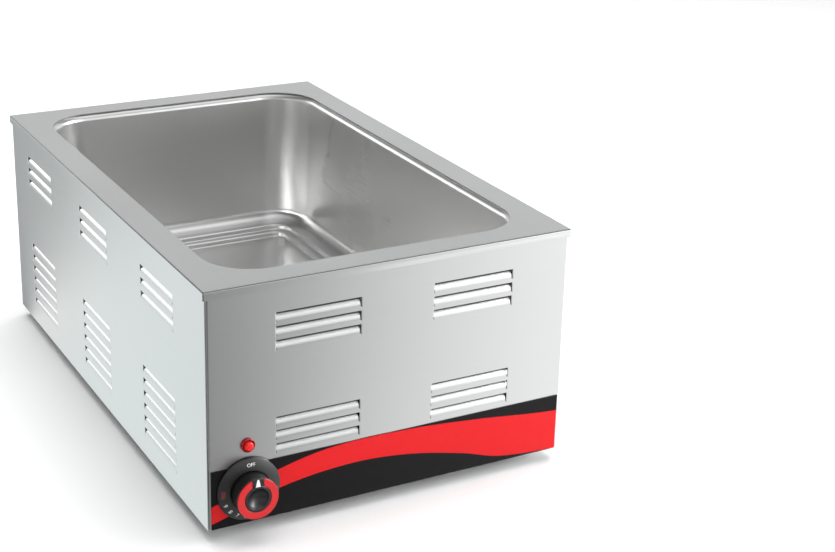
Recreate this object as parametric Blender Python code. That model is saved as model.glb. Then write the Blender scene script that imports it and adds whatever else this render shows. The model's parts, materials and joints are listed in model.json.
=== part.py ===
"""Countertop steam table unit: a louvred steel cabinet with a full-size water well and a dial thermostat.

Metres, +Z up. The front, with the knob, faces -Y. The origin is the middle of the whole object's box in
X and Y, and the surface it stands on in Z. Everything is a child of the empty "cabinet", which stands at the
deck's centre, so the coordinates below are measured from there.
"""

import math

import bmesh
import bpy

MM = 0.001
GAP = 0.3 * MM  # between pieces that touch

# Deck and housing
DECK_WIDTH = 368 * MM
DECK_DEPTH = 572 * MM
DECK_TOP = 240 * MM
DECK_SHEET = 1.0 * MM
DECK_BEND = 2.0 * MM
DECK_LIP = 8 * MM
DECK_OVERHANG = 2 * MM
OPENING_WIDTH = 310 * MM
OPENING_DEPTH = 514 * MM
OPENING_CORNER = 48 * MM

SHEET = 0.8 * MM
BODY_BOTTOM = 13 * MM
BODY_TOP = DECK_TOP - DECK_SHEET - GAP
HALF_WIDTH = DECK_WIDTH / 2 - DECK_OVERHANG
HALF_DEPTH = DECK_DEPTH / 2 - DECK_OVERHANG
CORNER_BEND = 2.5 * MM
SEAM_BEND = 2.0 * MM
SEAM_GAP = 0.6 * MM
SEAM_RETURN = 12 * MM
FLANGE = 14 * MM
FLANGE_END = 16 * MM  # how far each bottom flange stops short of a corner

# Louvres: lanced on three sides and bent inwards about their lower edge
LOUVRE_LENGTH = 82 * MM
LOUVRE_SLOT = 9.2 * MM
LOUVRE_PITCH = 13 * MM
LOUVRE_RADIUS = 10 * MM
LOUVRE_STEPS = 3
LOUVRE_TOP_GAP = 0.1 * MM
LOUVRE_END_GAP = 0.4 * MM
UPPER_HINGE = BODY_BOTTOM + 161.3 * MM
FRONT_LOWER_HINGE = BODY_BOTTOM + 62 * MM
SIDE_LOWER_HINGE = BODY_BOTTOM + 21 * MM
FRONT_COLUMNS = (-75 * MM, 81 * MM)
REAR_COLUMNS = (-78 * MM, 78 * MM)
SIDE_COLUMNS = (-168 * MM, 9 * MM, 186 * MM)

# Water well: distances are measured inwards from the edge of the opening
WELL_SHEET = 0.8 * MM
WELL_FLANGE = 10 * MM
WELL_INSET = 3 * MM
WELL_TOP_BEND = 6 * MM
WELL_DRAFT = 3 * MM
WELL_LEDGE = 85 * MM
WELL_LEDGE_BEND = 8 * MM
WELL_FLOOR = 71.5 * MM

# Controls, from the outer face of the front sheet
KNOB_X = -143.5 * MM
KNOB_Z = BODY_BOTTOM + 34 * MM
KNOB_RADIUS = 20 * MM
KNOB_FACE = 22.8 * MM
BEZEL_RADIUS = 30 * MM
RING_INNER = 13.5 * MM
RING_GAP = 5.4 * MM
RING_SEAT = 21.4 * MM
POINTER_TIP = 0.7 * MM
POINTER_BASE = 2.5 * MM
PILOT_Z = BODY_BOTTOM + 76 * MM
DECAL_HEIGHT = 57 * MM
DECAL_SHEET = 0.4 * MM
SCREW_OFFSET = 12 * MM
SPINDLE_RADIUS = 3 * MM

# Base
PLATE_BOTTOM = BODY_BOTTOM + SHEET + GAP
PLATE_TOP = PLATE_BOTTOM + SHEET
FOOT_INSET = 45 * MM
FOOT_RADIUS = 13 * MM

# Heater under the well
ELEMENT_RADIUS = 4 * MM
ELEMENT_LEGS = (-105 * MM, -35 * MM, 35 * MM, 105 * MM)
ELEMENT_STRAIGHT = 175 * MM
ELEMENT_TERMINAL = -235 * MM
FLOOR_UNDERSIDE = WELL_FLOOR - WELL_SHEET
ELEMENT_Z = FLOOR_UNDERSIDE - ELEMENT_RADIUS - 0.7 * MM
CLAMP_Y = 100 * MM
PAD_BOTTOM = 40 * MM
PAD_TOP = 52 * MM

# Rear bushing
BUSHING_X = 120 * MM
BUSHING_Z = 45 * MM
BUSHING_REACH = 9 * MM

KNOB_AHEAD = KNOB_FACE - DECK_OVERHANG
BUSHING_BEHIND = BUSHING_REACH - DECK_OVERHANG
CABINET_Y = (KNOB_AHEAD - BUSHING_BEHIND) / 2

FACING_FRONT = (math.pi / 2, 0, 0)  # local X is right, local Y is up, local Z points out of the front
FACING_REAR = (-math.pi / 2, 0, 0)  # local X is right, local Y is down, local Z points out of the rear
UPRIGHT = (0, 0, 0)


# ---------------------------------------------------------------- shapes


def principled(name, colour, roughness, metallic):
    material = bpy.data.materials.new(name)
    material.use_nodes = True
    shader = material.node_tree.nodes["Principled BSDF"]
    shader.inputs["Base Color"].default_value = (*colour, 1)
    shader.inputs["Roughness"].default_value = roughness
    shader.inputs["Metallic"].default_value = metallic
    return material


def place(piece, material, parent, location=(0, 0, 0), rotation=UPRIGHT):
    """Gives the piece its material and its place under the parent."""
    piece.data.materials.append(material)
    piece.parent = parent
    piece.location = location
    piece.rotation_euler = rotation
    bpy.context.collection.objects.link(piece)
    return piece


def mesh_object(name, points, faces, smooth=False):
    """A closed mesh with its faces turned outwards."""
    mesh = bpy.data.meshes.new(name)
    mesh.from_pydata([tuple(point) for point in points], [], faces)
    shape = bmesh.new()
    shape.from_mesh(mesh)
    bmesh.ops.remove_doubles(shape, verts=shape.verts, dist=1e-7)
    bmesh.ops.recalc_face_normals(shape, faces=shape.faces)
    shape.to_mesh(mesh)
    shape.free()
    if smooth:
        mesh.shade_smooth()
        mesh.set_sharp_from_angle(angle=math.radians(35))
    return bpy.data.objects.new(name, mesh)


def box(name, low, high):
    points = [(x, y, z) for x in (low[0], high[0]) for y in (low[1], high[1]) for z in (low[2], high[2])]
    faces = [(0, 1, 3, 2), (4, 6, 7, 5), (0, 4, 5, 1), (2, 3, 7, 6), (0, 2, 6, 4), (1, 5, 7, 3)]
    return mesh_object(name, points, faces)


def prism(name, outline, low, high):
    """The outline, in local X and Y, stretched along local Z."""
    count = len(outline)
    points = [(x, y, z) for z in (low, high) for x, y in outline]
    faces = [tuple(range(count)), tuple(range(count, 2 * count))]
    faces += [(i, (i + 1) % count, count + (i + 1) % count, count + i) for i in range(count)]
    return mesh_object(name, points, faces)


def turned(name, profile, steps=20):
    """A closed profile of (radius, height) points turned about local Z."""
    count = len(profile)
    turns = [2 * math.pi * step / steps for step in range(steps)]
    points = [(r * math.cos(turn), r * math.sin(turn), z) for turn in turns for r, z in profile]
    faces = []
    for step in range(steps):
        here, ahead = step * count, (step + 1) % steps * count
        for i in range(count):
            j = (i + 1) % count
            if profile[i][0] > 0 or profile[j][0] > 0:
                faces.append((here + i, here + j, ahead + j, ahead + i))
    return mesh_object(name, points, faces, smooth=True)


def arc(centre, radius, start, end, steps):
    """Points on a circle between two angles in degrees, ends included."""
    angles = [math.radians(start + (end - start) * step / steps) for step in range(steps + 1)]
    return [(centre[0] + radius * math.cos(a), centre[1] + radius * math.sin(a)) for a in angles]


def hexagon(radius):
    return arc((0, 0), radius, 0, 300, 5)


def nut(name, bore, radius, low, high):
    """A hexagonal nut round local Z."""
    piece = prism(name, hexagon(radius), low, high)
    drill(piece, [(0, 0, (low + high) / 2)], bore, high - low + 2 * MM)
    return piece


def screw(name, head_radius, head_height, shank_radius, length):
    """A pan head under its shank: local Z points from the head towards the shank's end."""
    dome = head_height * 0.35
    return turned(
        name,
        [
            (0, 0),
            (head_radius * 0.7, 0),
            (head_radius, dome),
            (head_radius, head_height),
            (shank_radius, head_height),
            (shank_radius, head_height + length),
            (0, head_height + length),
        ],
        steps=10,
    )


def rounded_rectangle(width, depth, radius, height, steps=5):
    corners = (
        (width / 2 - radius, depth / 2 - radius, 0),
        (radius - width / 2, depth / 2 - radius, 90),
        (radius - width / 2, radius - depth / 2, 180),
        (width / 2 - radius, radius - depth / 2, 270),
    )
    outline = []
    for x, y, start in corners:
        outline += arc((x, y), radius, start, start + 90, steps)
    return [(x, y, height) for x, y in outline]


def loft(name, rings, closed):
    """Rings of equal length skinned in order; a closed loft joins the last ring to the first."""
    count = len(rings[0])
    points = [point for ring in rings for point in ring]
    faces = []
    for ring in range(len(rings) if closed else len(rings) - 1):
        here, ahead = ring * count, (ring + 1) % len(rings) * count
        for i in range(count):
            j = (i + 1) % count
            faces.append((here + i, here + j, ahead + j, ahead + i))
    if not closed:
        faces += [tuple(range(count)), tuple(range(len(points) - count, len(points)))]
    return mesh_object(name, points, faces, smooth=True)


def catmull_rom(a, b, c, d, t):
    """A value part of the way from b to c, on the smooth curve through all four."""
    rise = (2 * a - 5 * b + 4 * c - d) * t**2 + (3 * b - a - 3 * c + d) * t**3
    return b + ((c - a) * t + rise) / 2


def smooth_route(points, per_span=3):
    """A smooth curve through the points, straight between the first two and between the last two."""
    route = [points[0]]
    for span in zip(points, points[1:], points[2:], points[3:]):
        for step in range(per_span):
            route.append([catmull_rom(*values, step / per_span) for values in zip(*span)])
    return [*route, points[-2], points[-1]]


def tube(name, route, radius):
    """A round tube along a route, with flat ends."""
    curve = bpy.data.curves.new(name, "CURVE")
    curve.dimensions = "3D"
    curve.bevel_depth = radius
    curve.bevel_resolution = 2
    curve.use_fill_caps = True
    spline = curve.splines.new("POLY")
    spline.points.add(len(route) - 1)
    for point, spot in zip(spline.points, route):
        point.co = (*spot, 1)
    return bpy.data.objects.new(name, curve)


def boolean(piece, other, operation):
    """Joins or cuts the piece with a helper that stays out of the model."""
    other.hide_render = True
    other.display_type = "WIRE"
    other.parent = piece
    bpy.context.collection.objects.link(other)
    modifier = piece.modifiers.new(other.name, "BOOLEAN")
    modifier.operation = operation
    modifier.solver = "EXACT"
    modifier.object = other


def drill(piece, centres, radius, length, rotation=UPRIGHT, steps=12):
    """Round holes through the piece, centred on points in its own frame."""
    turn = 360 / steps
    outline = arc((0, 0), radius, turn * 0.4, 360 - turn * 0.6, steps - 1)
    for number, centre in enumerate(centres):
        cutter = prism(f"{piece.name}_hole_{number}", outline, -length / 2, length / 2)
        cutter.location = centre
        cutter.rotation_euler = rotation
        boolean(piece, cutter, "DIFFERENCE")


# ---------------------------------------------------------------- sheet metal


class Span:
    """A stretch of sheet between two upright fold or cut lines."""

    def __init__(self, slots=(), slats=True, flange=False):
        self.slots = list(slots)
        self.slats = slats
        self.flange = flange


def slat_section():
    """The curved louvre's section as (inwards, up) pairs for its two skins, from its hinge to its tip."""
    whole_turn = (LOUVRE_SLOT - LOUVRE_TOP_GAP) / (LOUVRE_RADIUS - SHEET / 2)
    turns = [whole_turn * step / LOUVRE_STEPS for step in range(1, LOUVRE_STEPS + 1)]
    radii = (LOUVRE_RADIUS, LOUVRE_RADIUS - SHEET)
    return [[(LOUVRE_RADIUS - r * math.cos(turn), r * math.sin(turn)) for r in radii] for turn in turns]


class SheetBuilder:
    """Collects the faces of one upright sheet, with its slots, slats and bottom flange, as one closed skin.

    A station is (outer x, outer y, normal x, normal y): a point of the outer face and its outward normal.
    """

    def __init__(self, stations, spans, low, high):
        self.stations = stations
        self.spans = spans
        self.low = low
        self.high = high
        self.points = []
        self.index = {}
        self.faces = []

    def point(self, station, inwards, z, along=0.0):
        """The vertex at a depth behind the outer face and a height, moved along the sheet by a distance."""
        key = (station, round(inwards, 7), round(z, 7), round(along, 7))
        if key not in self.index:
            x, y, nx, ny = self.stations[station]
            self.index[key] = len(self.points)
            self.points.append((x - nx * inwards - ny * along, y - ny * inwards + nx * along, z))
        return self.index[key]

    def levels(self, station, bottom, top):
        """The heights of the station's vertices between two limits, lowest first."""
        found = {self.low, self.high}
        for span in self.spans[max(station - 1, 0) : station + 1]:
            found |= {height for slot in span.slots for height in slot}
            if span.flange:
                found.add(self.low + SHEET)
        return sorted(z for z in found if bottom - 1e-7 < z < top + 1e-7)

    def skin(self, k, inwards, bottom, top, hinge):
        """One face of a band of sheet between stations k and k + 1."""
        face = [self.point(k, inwards, z) for z in self.levels(k, bottom, top)]
        if hinge:
            face.append(self.point(k, inwards, top, LOUVRE_END_GAP))
            face.append(self.point(k + 1, inwards, top, -LOUVRE_END_GAP))
        face += [self.point(k + 1, inwards, z) for z in reversed(self.levels(k + 1, bottom, top))]
        self.faces.append(face)

    def strip(self, first, second):
        """A four-sided face between two edges, each an (a, b) pair of vertices."""
        self.faces.append([first[0], first[1], second[1], second[0]])

    def edge(self, k, z, along=0.0):
        return self.point(k, 0, z, along), self.point(k, SHEET, z, along)

    def add_slat(self, k, hinge):
        ends = []
        for station, along in ((k, LOUVRE_END_GAP), (k + 1, -LOUVRE_END_GAP)):
            rows = [self.edge(station, hinge, along)]
            for outer, inner in slat_section():
                rows.append(tuple(self.point(station, x, hinge + z, along) for x, z in (outer, inner)))
            ends.append(rows)
            for row, following in zip(rows, rows[1:]):
                self.strip(row, following)
        for side in (0, 1):
            for row in range(len(ends[0]) - 1):
                self.strip(
                    (ends[0][row][side], ends[0][row + 1][side]),
                    (ends[1][row][side], ends[1][row + 1][side]),
                )
        self.strip(ends[0][-1], ends[1][-1])
        self.strip(self.edge(k, hinge), self.edge(k, hinge, LOUVRE_END_GAP))
        self.strip(self.edge(k + 1, hinge, -LOUVRE_END_GAP), self.edge(k + 1, hinge))

    def add_flange(self, k, first, last):
        low, top = self.low, self.low + SHEET
        rows = []
        for station in (k, k + 1):
            corners = ((SHEET, top), (FLANGE, top), (FLANGE, low), (SHEET, low))
            rows.append([self.point(station, x, z) for x, z in corners])
        for corner in range(3):
            self.strip(
                (rows[0][corner], rows[0][corner + 1]),
                (rows[1][corner], rows[1][corner + 1]),
            )
        if first:
            self.faces.append(rows[0])
        if last:
            self.faces.append(rows[1])

    def add_span(self, k):
        span = self.spans[k]
        bottoms = [self.low] + [top for _, top in span.slots]
        tops = [hinge for hinge, _ in span.slots] + [self.high]
        for bottom, top in zip(bottoms, tops):
            hinge = top < self.high and span.slats
            self.skin(k, 0, bottom, top, hinge)
            inner_bottom = bottom + SHEET if span.flange and bottom == self.low else bottom
            self.skin(k, SHEET, inner_bottom, top, hinge)
            self.strip(self.edge(k, bottom), self.edge(k + 1, bottom))
            if hinge:
                self.add_slat(k, top)
            else:
                self.strip(self.edge(k, top), self.edge(k + 1, top))
        for hinge, top in span.slots:
            for station in (k, k + 1):
                self.strip(self.edge(station, hinge), self.edge(station, top))
        if span.flange:
            self.add_flange(k, not self.spans[k - 1].flange, not self.spans[k + 1].flange)

    def add_end(self, station):
        rising = self.levels(station, self.low, self.high)
        self.faces.append(
            [self.point(station, 0, z) for z in rising]
            + [self.point(station, SHEET, z) for z in reversed(rising)]
        )

    def build(self, name):
        for k in range(len(self.spans)):
            self.add_span(k)
        self.add_end(0)
        self.add_end(len(self.spans))
        return mesh_object(name, self.points, self.faces)


def slot_group(lowest_hinge, count):
    hinges = [lowest_hinge + LOUVRE_PITCH * i for i in range(count)]
    return [(hinge, hinge + LOUVRE_SLOT) for hinge in hinges]


def flat_run(start, end, columns, slots):
    """Distances along a flat face, and the spans between them, with a flange clear of both ends."""
    marks = [start, start + FLANGE_END]
    spans = [Span(), Span(flange=True)]
    for column in columns:
        marks += [column - LOUVRE_LENGTH / 2, column + LOUVRE_LENGTH / 2]
        spans += [Span(slots, flange=True), Span(flange=True)]
    return [*marks, end - FLANGE_END, end], [*spans, Span()]


def bend_stations(centre, radius, start):
    """Stations round a quarter bend that starts facing the given angle in degrees."""
    facing = arc((0, 0), 1, start, start + 90, 4)
    return [(centre[0] + radius * nx, centre[1] + radius * ny, nx, ny) for nx, ny in facing]


def folded_housing(name, face_columns, face_slots, side_columns, side_slots):
    """One sheet folded round a corner: a return in the seam, a flat facing -Y, a bend, a flat facing +X."""
    fold_x = SHEET + SEAM_GAP - HALF_WIDTH
    seam = bend_stations((fold_x + SEAM_BEND, SEAM_BEND - HALF_DEPTH), SEAM_BEND, 180)
    corner = bend_stations((HALF_WIDTH - CORNER_BEND, CORNER_BEND - HALF_DEPTH), CORNER_BEND, 270)
    face_marks, face_spans = flat_run(seam[-1][0], corner[0][0], face_columns, face_slots)
    side_marks, side_spans = flat_run(corner[-1][1], HALF_DEPTH, side_columns, side_slots)

    stations = [(fold_x, SEAM_RETURN - HALF_DEPTH, -1, 0), *seam]
    stations += [(x, -HALF_DEPTH, 0, -1) for x in face_marks[1:-1]]
    stations += corner
    stations += [(HALF_WIDTH, y, 1, 0) for y in side_marks[1:]]
    bend = [Span()] * (len(seam) - 1)
    spans = [Span(), *bend, *face_spans, *bend, *side_spans]
    return SheetBuilder(stations, spans, BODY_BOTTOM, BODY_TOP).build(name)


# ---------------------------------------------------------------- groups of pieces


def make_deck(cabinet, steel):
    def outline(edge, corner, height):
        return rounded_rectangle(DECK_WIDTH - 2 * edge, DECK_DEPTH - 2 * edge, corner, height)

    def bend(radius, edge, steps):
        turned_in = arc((edge + radius, DECK_TOP - DECK_BEND), radius, 90, 180, steps)
        return [outline(inset, max(DECK_BEND - inset, 0.5 * MM), z) for inset, z in turned_in]

    lip_bottom = DECK_TOP - DECK_LIP
    rings = [rounded_rectangle(OPENING_WIDTH, OPENING_DEPTH, OPENING_CORNER, DECK_TOP)]
    rings += bend(DECK_BEND, 0, 3)
    rings.append(outline(0, DECK_BEND, lip_bottom))
    rings.append(outline(DECK_SHEET, DECK_BEND - DECK_SHEET, lip_bottom))
    rings += reversed(bend(DECK_BEND - DECK_SHEET, DECK_SHEET, 2))
    rings.append(rounded_rectangle(OPENING_WIDTH, OPENING_DEPTH, OPENING_CORNER, DECK_TOP - DECK_SHEET))
    place(loft("top_deck", rings, closed=True), steel, cabinet)


def well_profile():
    """The well's inner skin as (inset from the opening's edge, height), from its flange to its floor."""
    flange_z = BODY_TOP
    wall_foot = WELL_INSET + WELL_DRAFT
    profile = [(-WELL_FLANGE, flange_z)]
    profile += arc((WELL_INSET - WELL_TOP_BEND, flange_z - WELL_TOP_BEND), WELL_TOP_BEND, 90, 0, 3)
    ledge_centre = (wall_foot + WELL_LEDGE_BEND, WELL_LEDGE + WELL_LEDGE_BEND)
    profile += arc(ledge_centre, WELL_LEDGE_BEND, 180, 270, 3)
    for step in (0, 1):
        edge, top = (25 + 8 * step) * MM, WELL_LEDGE - (1 + 6.2 * step) * MM
        profile += [(edge, top), (edge + 2 * MM, top - MM), (edge + 4 * MM, top - 5.4 * MM)]
    return [*profile, (100 * MM, WELL_FLOOR)]


def offset_profile(profile, distance):
    """The profile moved to its left, seen along its direction of travel."""
    moved = []
    for i, (x, z) in enumerate(profile):
        before, after = profile[max(i - 1, 0)], profile[min(i + 1, len(profile) - 1)]
        dx, dz = after[0] - before[0], after[1] - before[1]
        length = math.hypot(dx, dz)
        moved.append((x + dz / length * distance, z - dx / length * distance))
    return moved


def make_well(cabinet, steel):
    inner = well_profile()
    outer = offset_profile(inner, WELL_SHEET)
    rings = []
    for inset, height in [*reversed(inner), *outer]:
        corner = max(OPENING_CORNER - inset, 8 * MM)
        rings.append(rounded_rectangle(OPENING_WIDTH - 2 * inset, OPENING_DEPTH - 2 * inset, corner, height))
    place(loft("water_well", rings, closed=False), steel, cabinet)


def make_housing(cabinet, steel):
    upper = slot_group(UPPER_HINGE, 3)
    face_slots = slot_group(FRONT_LOWER_HINGE, 3) + upper
    side_slots = slot_group(SIDE_LOWER_HINGE, 6) + upper

    front = folded_housing("housing_front_right", FRONT_COLUMNS, face_slots, SIDE_COLUMNS, side_slots)
    place(front, steel, cabinet)
    through = 12 * MM
    drill(front, [(KNOB_X, -HALF_DEPTH, KNOB_Z)], 5.6 * MM, through, FACING_FRONT)
    screws = [(KNOB_X + side * SCREW_OFFSET, -HALF_DEPTH, KNOB_Z) for side in (-1, 1)]
    drill(front, screws, 2.1 * MM, through, FACING_FRONT, steps=10)
    drill(front, [(KNOB_X, -HALF_DEPTH, PILOT_Z)], 5 * MM, through, FACING_FRONT)

    mirrored = sorted(-column for column in SIDE_COLUMNS)
    rear = folded_housing("housing_rear_left", REAR_COLUMNS, face_slots, mirrored, side_slots)
    place(rear, steel, cabinet, rotation=(0, 0, math.pi))
    drill(rear, [(-BUSHING_X, -HALF_DEPTH, BUSHING_Z)], 8.2 * MM, through, FACING_FRONT)

    for piece, turn in ((front, 1), (rear, -1)):
        screws = [(turn * x, turn * y) for x, y in base_screw_places()]
        holes = [(x, y, BODY_BOTTOM) for x, y in screws if on_sheet(x, y)]
        drill(piece, holes, 2.1 * MM, 6 * MM, steps=10)


def base_screw_places():
    """Where the bottom plate is screwed up through the housing's flanges, from the cabinet's centre."""
    side, end = HALF_WIDTH - FLANGE / 2 - MM, HALF_DEPTH - FLANGE / 2 - MM
    return [(sx * side, y) for sx in (-1, 1) for y in (-190 * MM, 190 * MM)] + [(0, -end), (0, end)]


def on_sheet(x, y):
    """True for a place on the folded sheet's own flanges: along -Y, or along +X."""
    return x > HALF_WIDTH - FLANGE or y < FLANGE - HALF_DEPTH


def make_base(cabinet, steel, rubber, zinc):
    half_x, half_y = HALF_WIDTH - 2.7 * MM, HALF_DEPTH - 4 * MM
    slot = 6 * MM
    slots = [(y, y + slot) for y in (-60 * MM, -30 * MM, 0, 30 * MM, 60 * MM)]
    marks = (-half_x, -110 * MM, -30 * MM, 30 * MM, 110 * MM, half_x)
    stations = [(x, 0, 0, -1) for x in marks]
    spans = [Span(), Span(slots, slats=False), Span(), Span(slots, slats=False), Span()]
    plate = SheetBuilder(stations, spans, -half_y, half_y).build("bottom_plate")
    place(plate, steel, cabinet, (0, 0, PLATE_TOP), (-math.pi / 2, 0, 0))
    foot_x, foot_y = DECK_WIDTH / 2 - FOOT_INSET, DECK_DEPTH / 2 - FOOT_INSET
    feet = [(side * foot_x, end * foot_y) for end in (-1, 1) for side in (-1, 1)]
    drill(plate, [(x, 0, -y) for x, y in base_screw_places()], 2.1 * MM, 6 * MM, FACING_FRONT, steps=10)
    drill(plate, [(x, 0, -y) for x, y in feet], 2.6 * MM, 6 * MM, FACING_FRONT, steps=10)

    foot_top = PLATE_BOTTOM - GAP
    foot = turned(
        "foot_front_left",
        [
            (2.6 * MM, 4 * MM),
            (5.2 * MM, 4 * MM),
            (5.2 * MM, 0),
            (FOOT_RADIUS - 2.4 * MM, 0),
            (FOOT_RADIUS - 1.6 * MM, 0.8 * MM),
            (FOOT_RADIUS, foot_top - 2 * MM),
            (FOOT_RADIUS, foot_top),
            (2.6 * MM, foot_top),
        ],
        steps=16,
    )
    foot_screw = screw("foot_screw_front_left", 4.4 * MM, 2.2 * MM, 2.2 * MM, 19 * MM)
    for corner, (x, y) in zip(("front_left", "front_right", "rear_left", "rear_right"), feet):
        first = corner == "front_left"
        rest = foot if first else bpy.data.objects.new(f"foot_{corner}", foot.data)
        fixing = foot_screw if first else bpy.data.objects.new(f"foot_screw_{corner}", foot_screw.data)
        place_copy(rest, rubber, cabinet, (x, y, 0))
        place_copy(fixing, zinc, cabinet, (x, y, 1.5 * MM))

    head = 2 * MM
    base_screw = screw("base_screw_1", 3.8 * MM, head, 1.7 * MM, 8 * MM)
    for number, (x, y) in enumerate(base_screw_places(), 1):
        piece = base_screw if number == 1 else bpy.data.objects.new(f"base_screw_{number}", base_screw.data)
        place_copy(piece, zinc, cabinet, (x, y, BODY_BOTTOM - GAP - head))


def place_copy(piece, material, parent, location):
    """Places one of several objects that share a mesh, which takes its material once."""
    piece.parent = parent
    piece.location = location
    bpy.context.collection.objects.link(piece)
    if not piece.data.materials:
        piece.data.materials.append(material)


def make_front_trim(cabinet, ink, red_glass, black, zinc):
    front = (KNOB_X, -HALF_DEPTH, KNOB_Z)
    left, right = SHEET + SEAM_GAP + SEAM_BEND - HALF_WIDTH, HALF_WIDTH - CORNER_BEND
    decal_low = BODY_BOTTOM + GAP - KNOB_Z
    decal = box(
        "front_decal",
        (left - KNOB_X, decal_low, GAP),
        (right - KNOB_X, BODY_BOTTOM + DECAL_HEIGHT - KNOB_Z, GAP + DECAL_SHEET),
    )
    place(decal, ink, cabinet, front, FACING_FRONT)
    drill(decal, [(0, 0, 0)], BEZEL_RADIUS - 6 * MM, 6 * MM, steps=24)

    bezel = turned(
        "dial_bezel",
        [
            (BEZEL_RADIUS, 1.0 * MM),
            (BEZEL_RADIUS, 2.2 * MM),
            (BEZEL_RADIUS - 0.8 * MM, 3.0 * MM),
            (19.6 * MM, 6.0 * MM),
            (18.8 * MM, 6.0 * MM),
            (18.8 * MM, 3.6 * MM),
            (6.0 * MM, 3.6 * MM),
            (6.0 * MM, 2.7 * MM),
            (19.8 * MM, 2.7 * MM),
            (20.4 * MM, 4.5 * MM),
            (BEZEL_RADIUS - 1.4 * MM, 2.0 * MM),
            (BEZEL_RADIUS - 1.4 * MM, 1.0 * MM),
        ],
        steps=24,
    )
    place(bezel, black, cabinet, front, FACING_FRONT)
    drill(bezel, [(side * SCREW_OFFSET, 0, 3 * MM) for side in (-1, 1)], 2.1 * MM, 6 * MM, steps=10)

    pilot = (KNOB_X, -HALF_DEPTH, PILOT_Z)
    lens = turned(
        "pilot_lens",
        [
            (0, -10 * MM),
            (4.5 * MM, -10 * MM),
            (4.5 * MM, GAP),
            (7 * MM, GAP),
            (7 * MM, 1.4 * MM),
            (6.3 * MM, 2.2 * MM),
            (4.8 * MM, 2.5 * MM),
            (4.4 * MM, 4.8 * MM),
            (3.2 * MM, 5.8 * MM),
            (0, 6.1 * MM),
        ],
    )
    place(lens, red_glass, cabinet, pilot, FACING_FRONT)
    clip = turned(
        "pilot_clip",
        [(4.9 * MM, -2.2 * MM), (4.9 * MM, -1.2 * MM), (8 * MM, -1.2 * MM), (8 * MM, -2.2 * MM)],
    )
    place(clip, zinc, cabinet, pilot, FACING_FRONT)
    lamp = turned(
        "pilot_lamp_body",
        [
            (4.9 * MM, -2.6 * MM),
            (6.5 * MM, -2.6 * MM),
            (6.5 * MM, -22 * MM),
            (5.5 * MM, -24 * MM),
            (0, -24 * MM),
            (0, -11 * MM),
            (4.9 * MM, -11 * MM),
        ],
    )
    place(lamp, black, cabinet, pilot, FACING_FRONT)


def ring_outline(inner, outer, half_gap):
    """A flat ring that is open at the top between two upright edges."""
    outer_start = 90 - math.degrees(math.asin(half_gap / outer))
    inner_start = 90 - math.degrees(math.asin(half_gap / inner))
    outside = arc((0, 0), outer, outer_start, outer_start - 2 * outer_start - 180, 36)
    inside = arc((0, 0), inner, -180 - inner_start, inner_start, 36)
    return outside + inside


def make_knob(knob_axis, black, red, white, zinc):
    knob = turned(
        "knob",
        [
            (0, 14.5 * MM),
            (3.4 * MM, 14.5 * MM),
            (3.4 * MM, 4.8 * MM),
            (6.5 * MM, 4.8 * MM),
            (6.5 * MM, 13.5 * MM),
            (16.8 * MM, 13.5 * MM),
            (16.2 * MM, 4.2 * MM),
            (17.8 * MM, 4.2 * MM),
            (18.0 * MM, 7 * MM),
            (KNOB_RADIUS - 0.3 * MM, 19.5 * MM),
            (KNOB_RADIUS - 0.2 * MM, 20.8 * MM),
            (KNOB_RADIUS - 0.6 * MM, RING_SEAT),
            (RING_INNER - GAP, RING_SEAT),
            (RING_INNER - GAP, KNOB_FACE),
            (11.2 * MM, KNOB_FACE),
            (10.4 * MM, 22.2 * MM),
            (8.6 * MM, 20.2 * MM),
            (6 * MM, 18.4 * MM),
            (3 * MM, 17.4 * MM),
            (0, 17.1 * MM),
        ],
        steps=24,
    )
    place(knob, black, knob_axis, rotation=FACING_FRONT)
    block_half = RING_GAP - GAP
    block_top = math.sqrt((KNOB_RADIUS - 0.8 * MM) ** 2 - block_half**2)
    block_high = (block_half, block_top, KNOB_FACE - 0.01 * MM)
    block = box("knob_block", (-block_half, 12 * MM, 20 * MM), block_high)
    boolean(knob, block, "UNION")
    wedge = pointer_outline(GAP)
    pocket = prism("knob_pocket", wedge, KNOB_FACE - 1.0 * MM, KNOB_FACE + 1.0 * MM)
    boolean(knob, pocket, "DIFFERENCE")

    ring = prism(
        "knob_ring",
        ring_outline(RING_INNER, KNOB_RADIUS - 0.6 * MM, RING_GAP),
        RING_SEAT + GAP,
        KNOB_FACE,
    )
    place(ring, red, knob_axis, rotation=FACING_FRONT)
    pointer = prism("knob_pointer", pointer_outline(0), KNOB_FACE - 0.7 * MM, KNOB_FACE)
    place(pointer, white, knob_axis, rotation=FACING_FRONT)

    flat = math.asin(0.75)
    section = arc((0, 0), SPINDLE_RADIUS, 180 - math.degrees(flat), 360 + math.degrees(flat), 14)
    spindle = prism("thermostat_spindle", section, -14 * MM, 14 * MM)
    place(spindle, zinc, knob_axis, rotation=FACING_FRONT)


def pointer_outline(margin):
    """The pointer's wedge, narrow at the rim, grown by a margin."""
    low, high = 11.6 * MM - margin, 18.2 * MM + margin
    tip, base = POINTER_TIP + margin, POINTER_BASE + margin
    return [(-base, low), (base, low), (tip, high), (-tip, high)]


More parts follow.
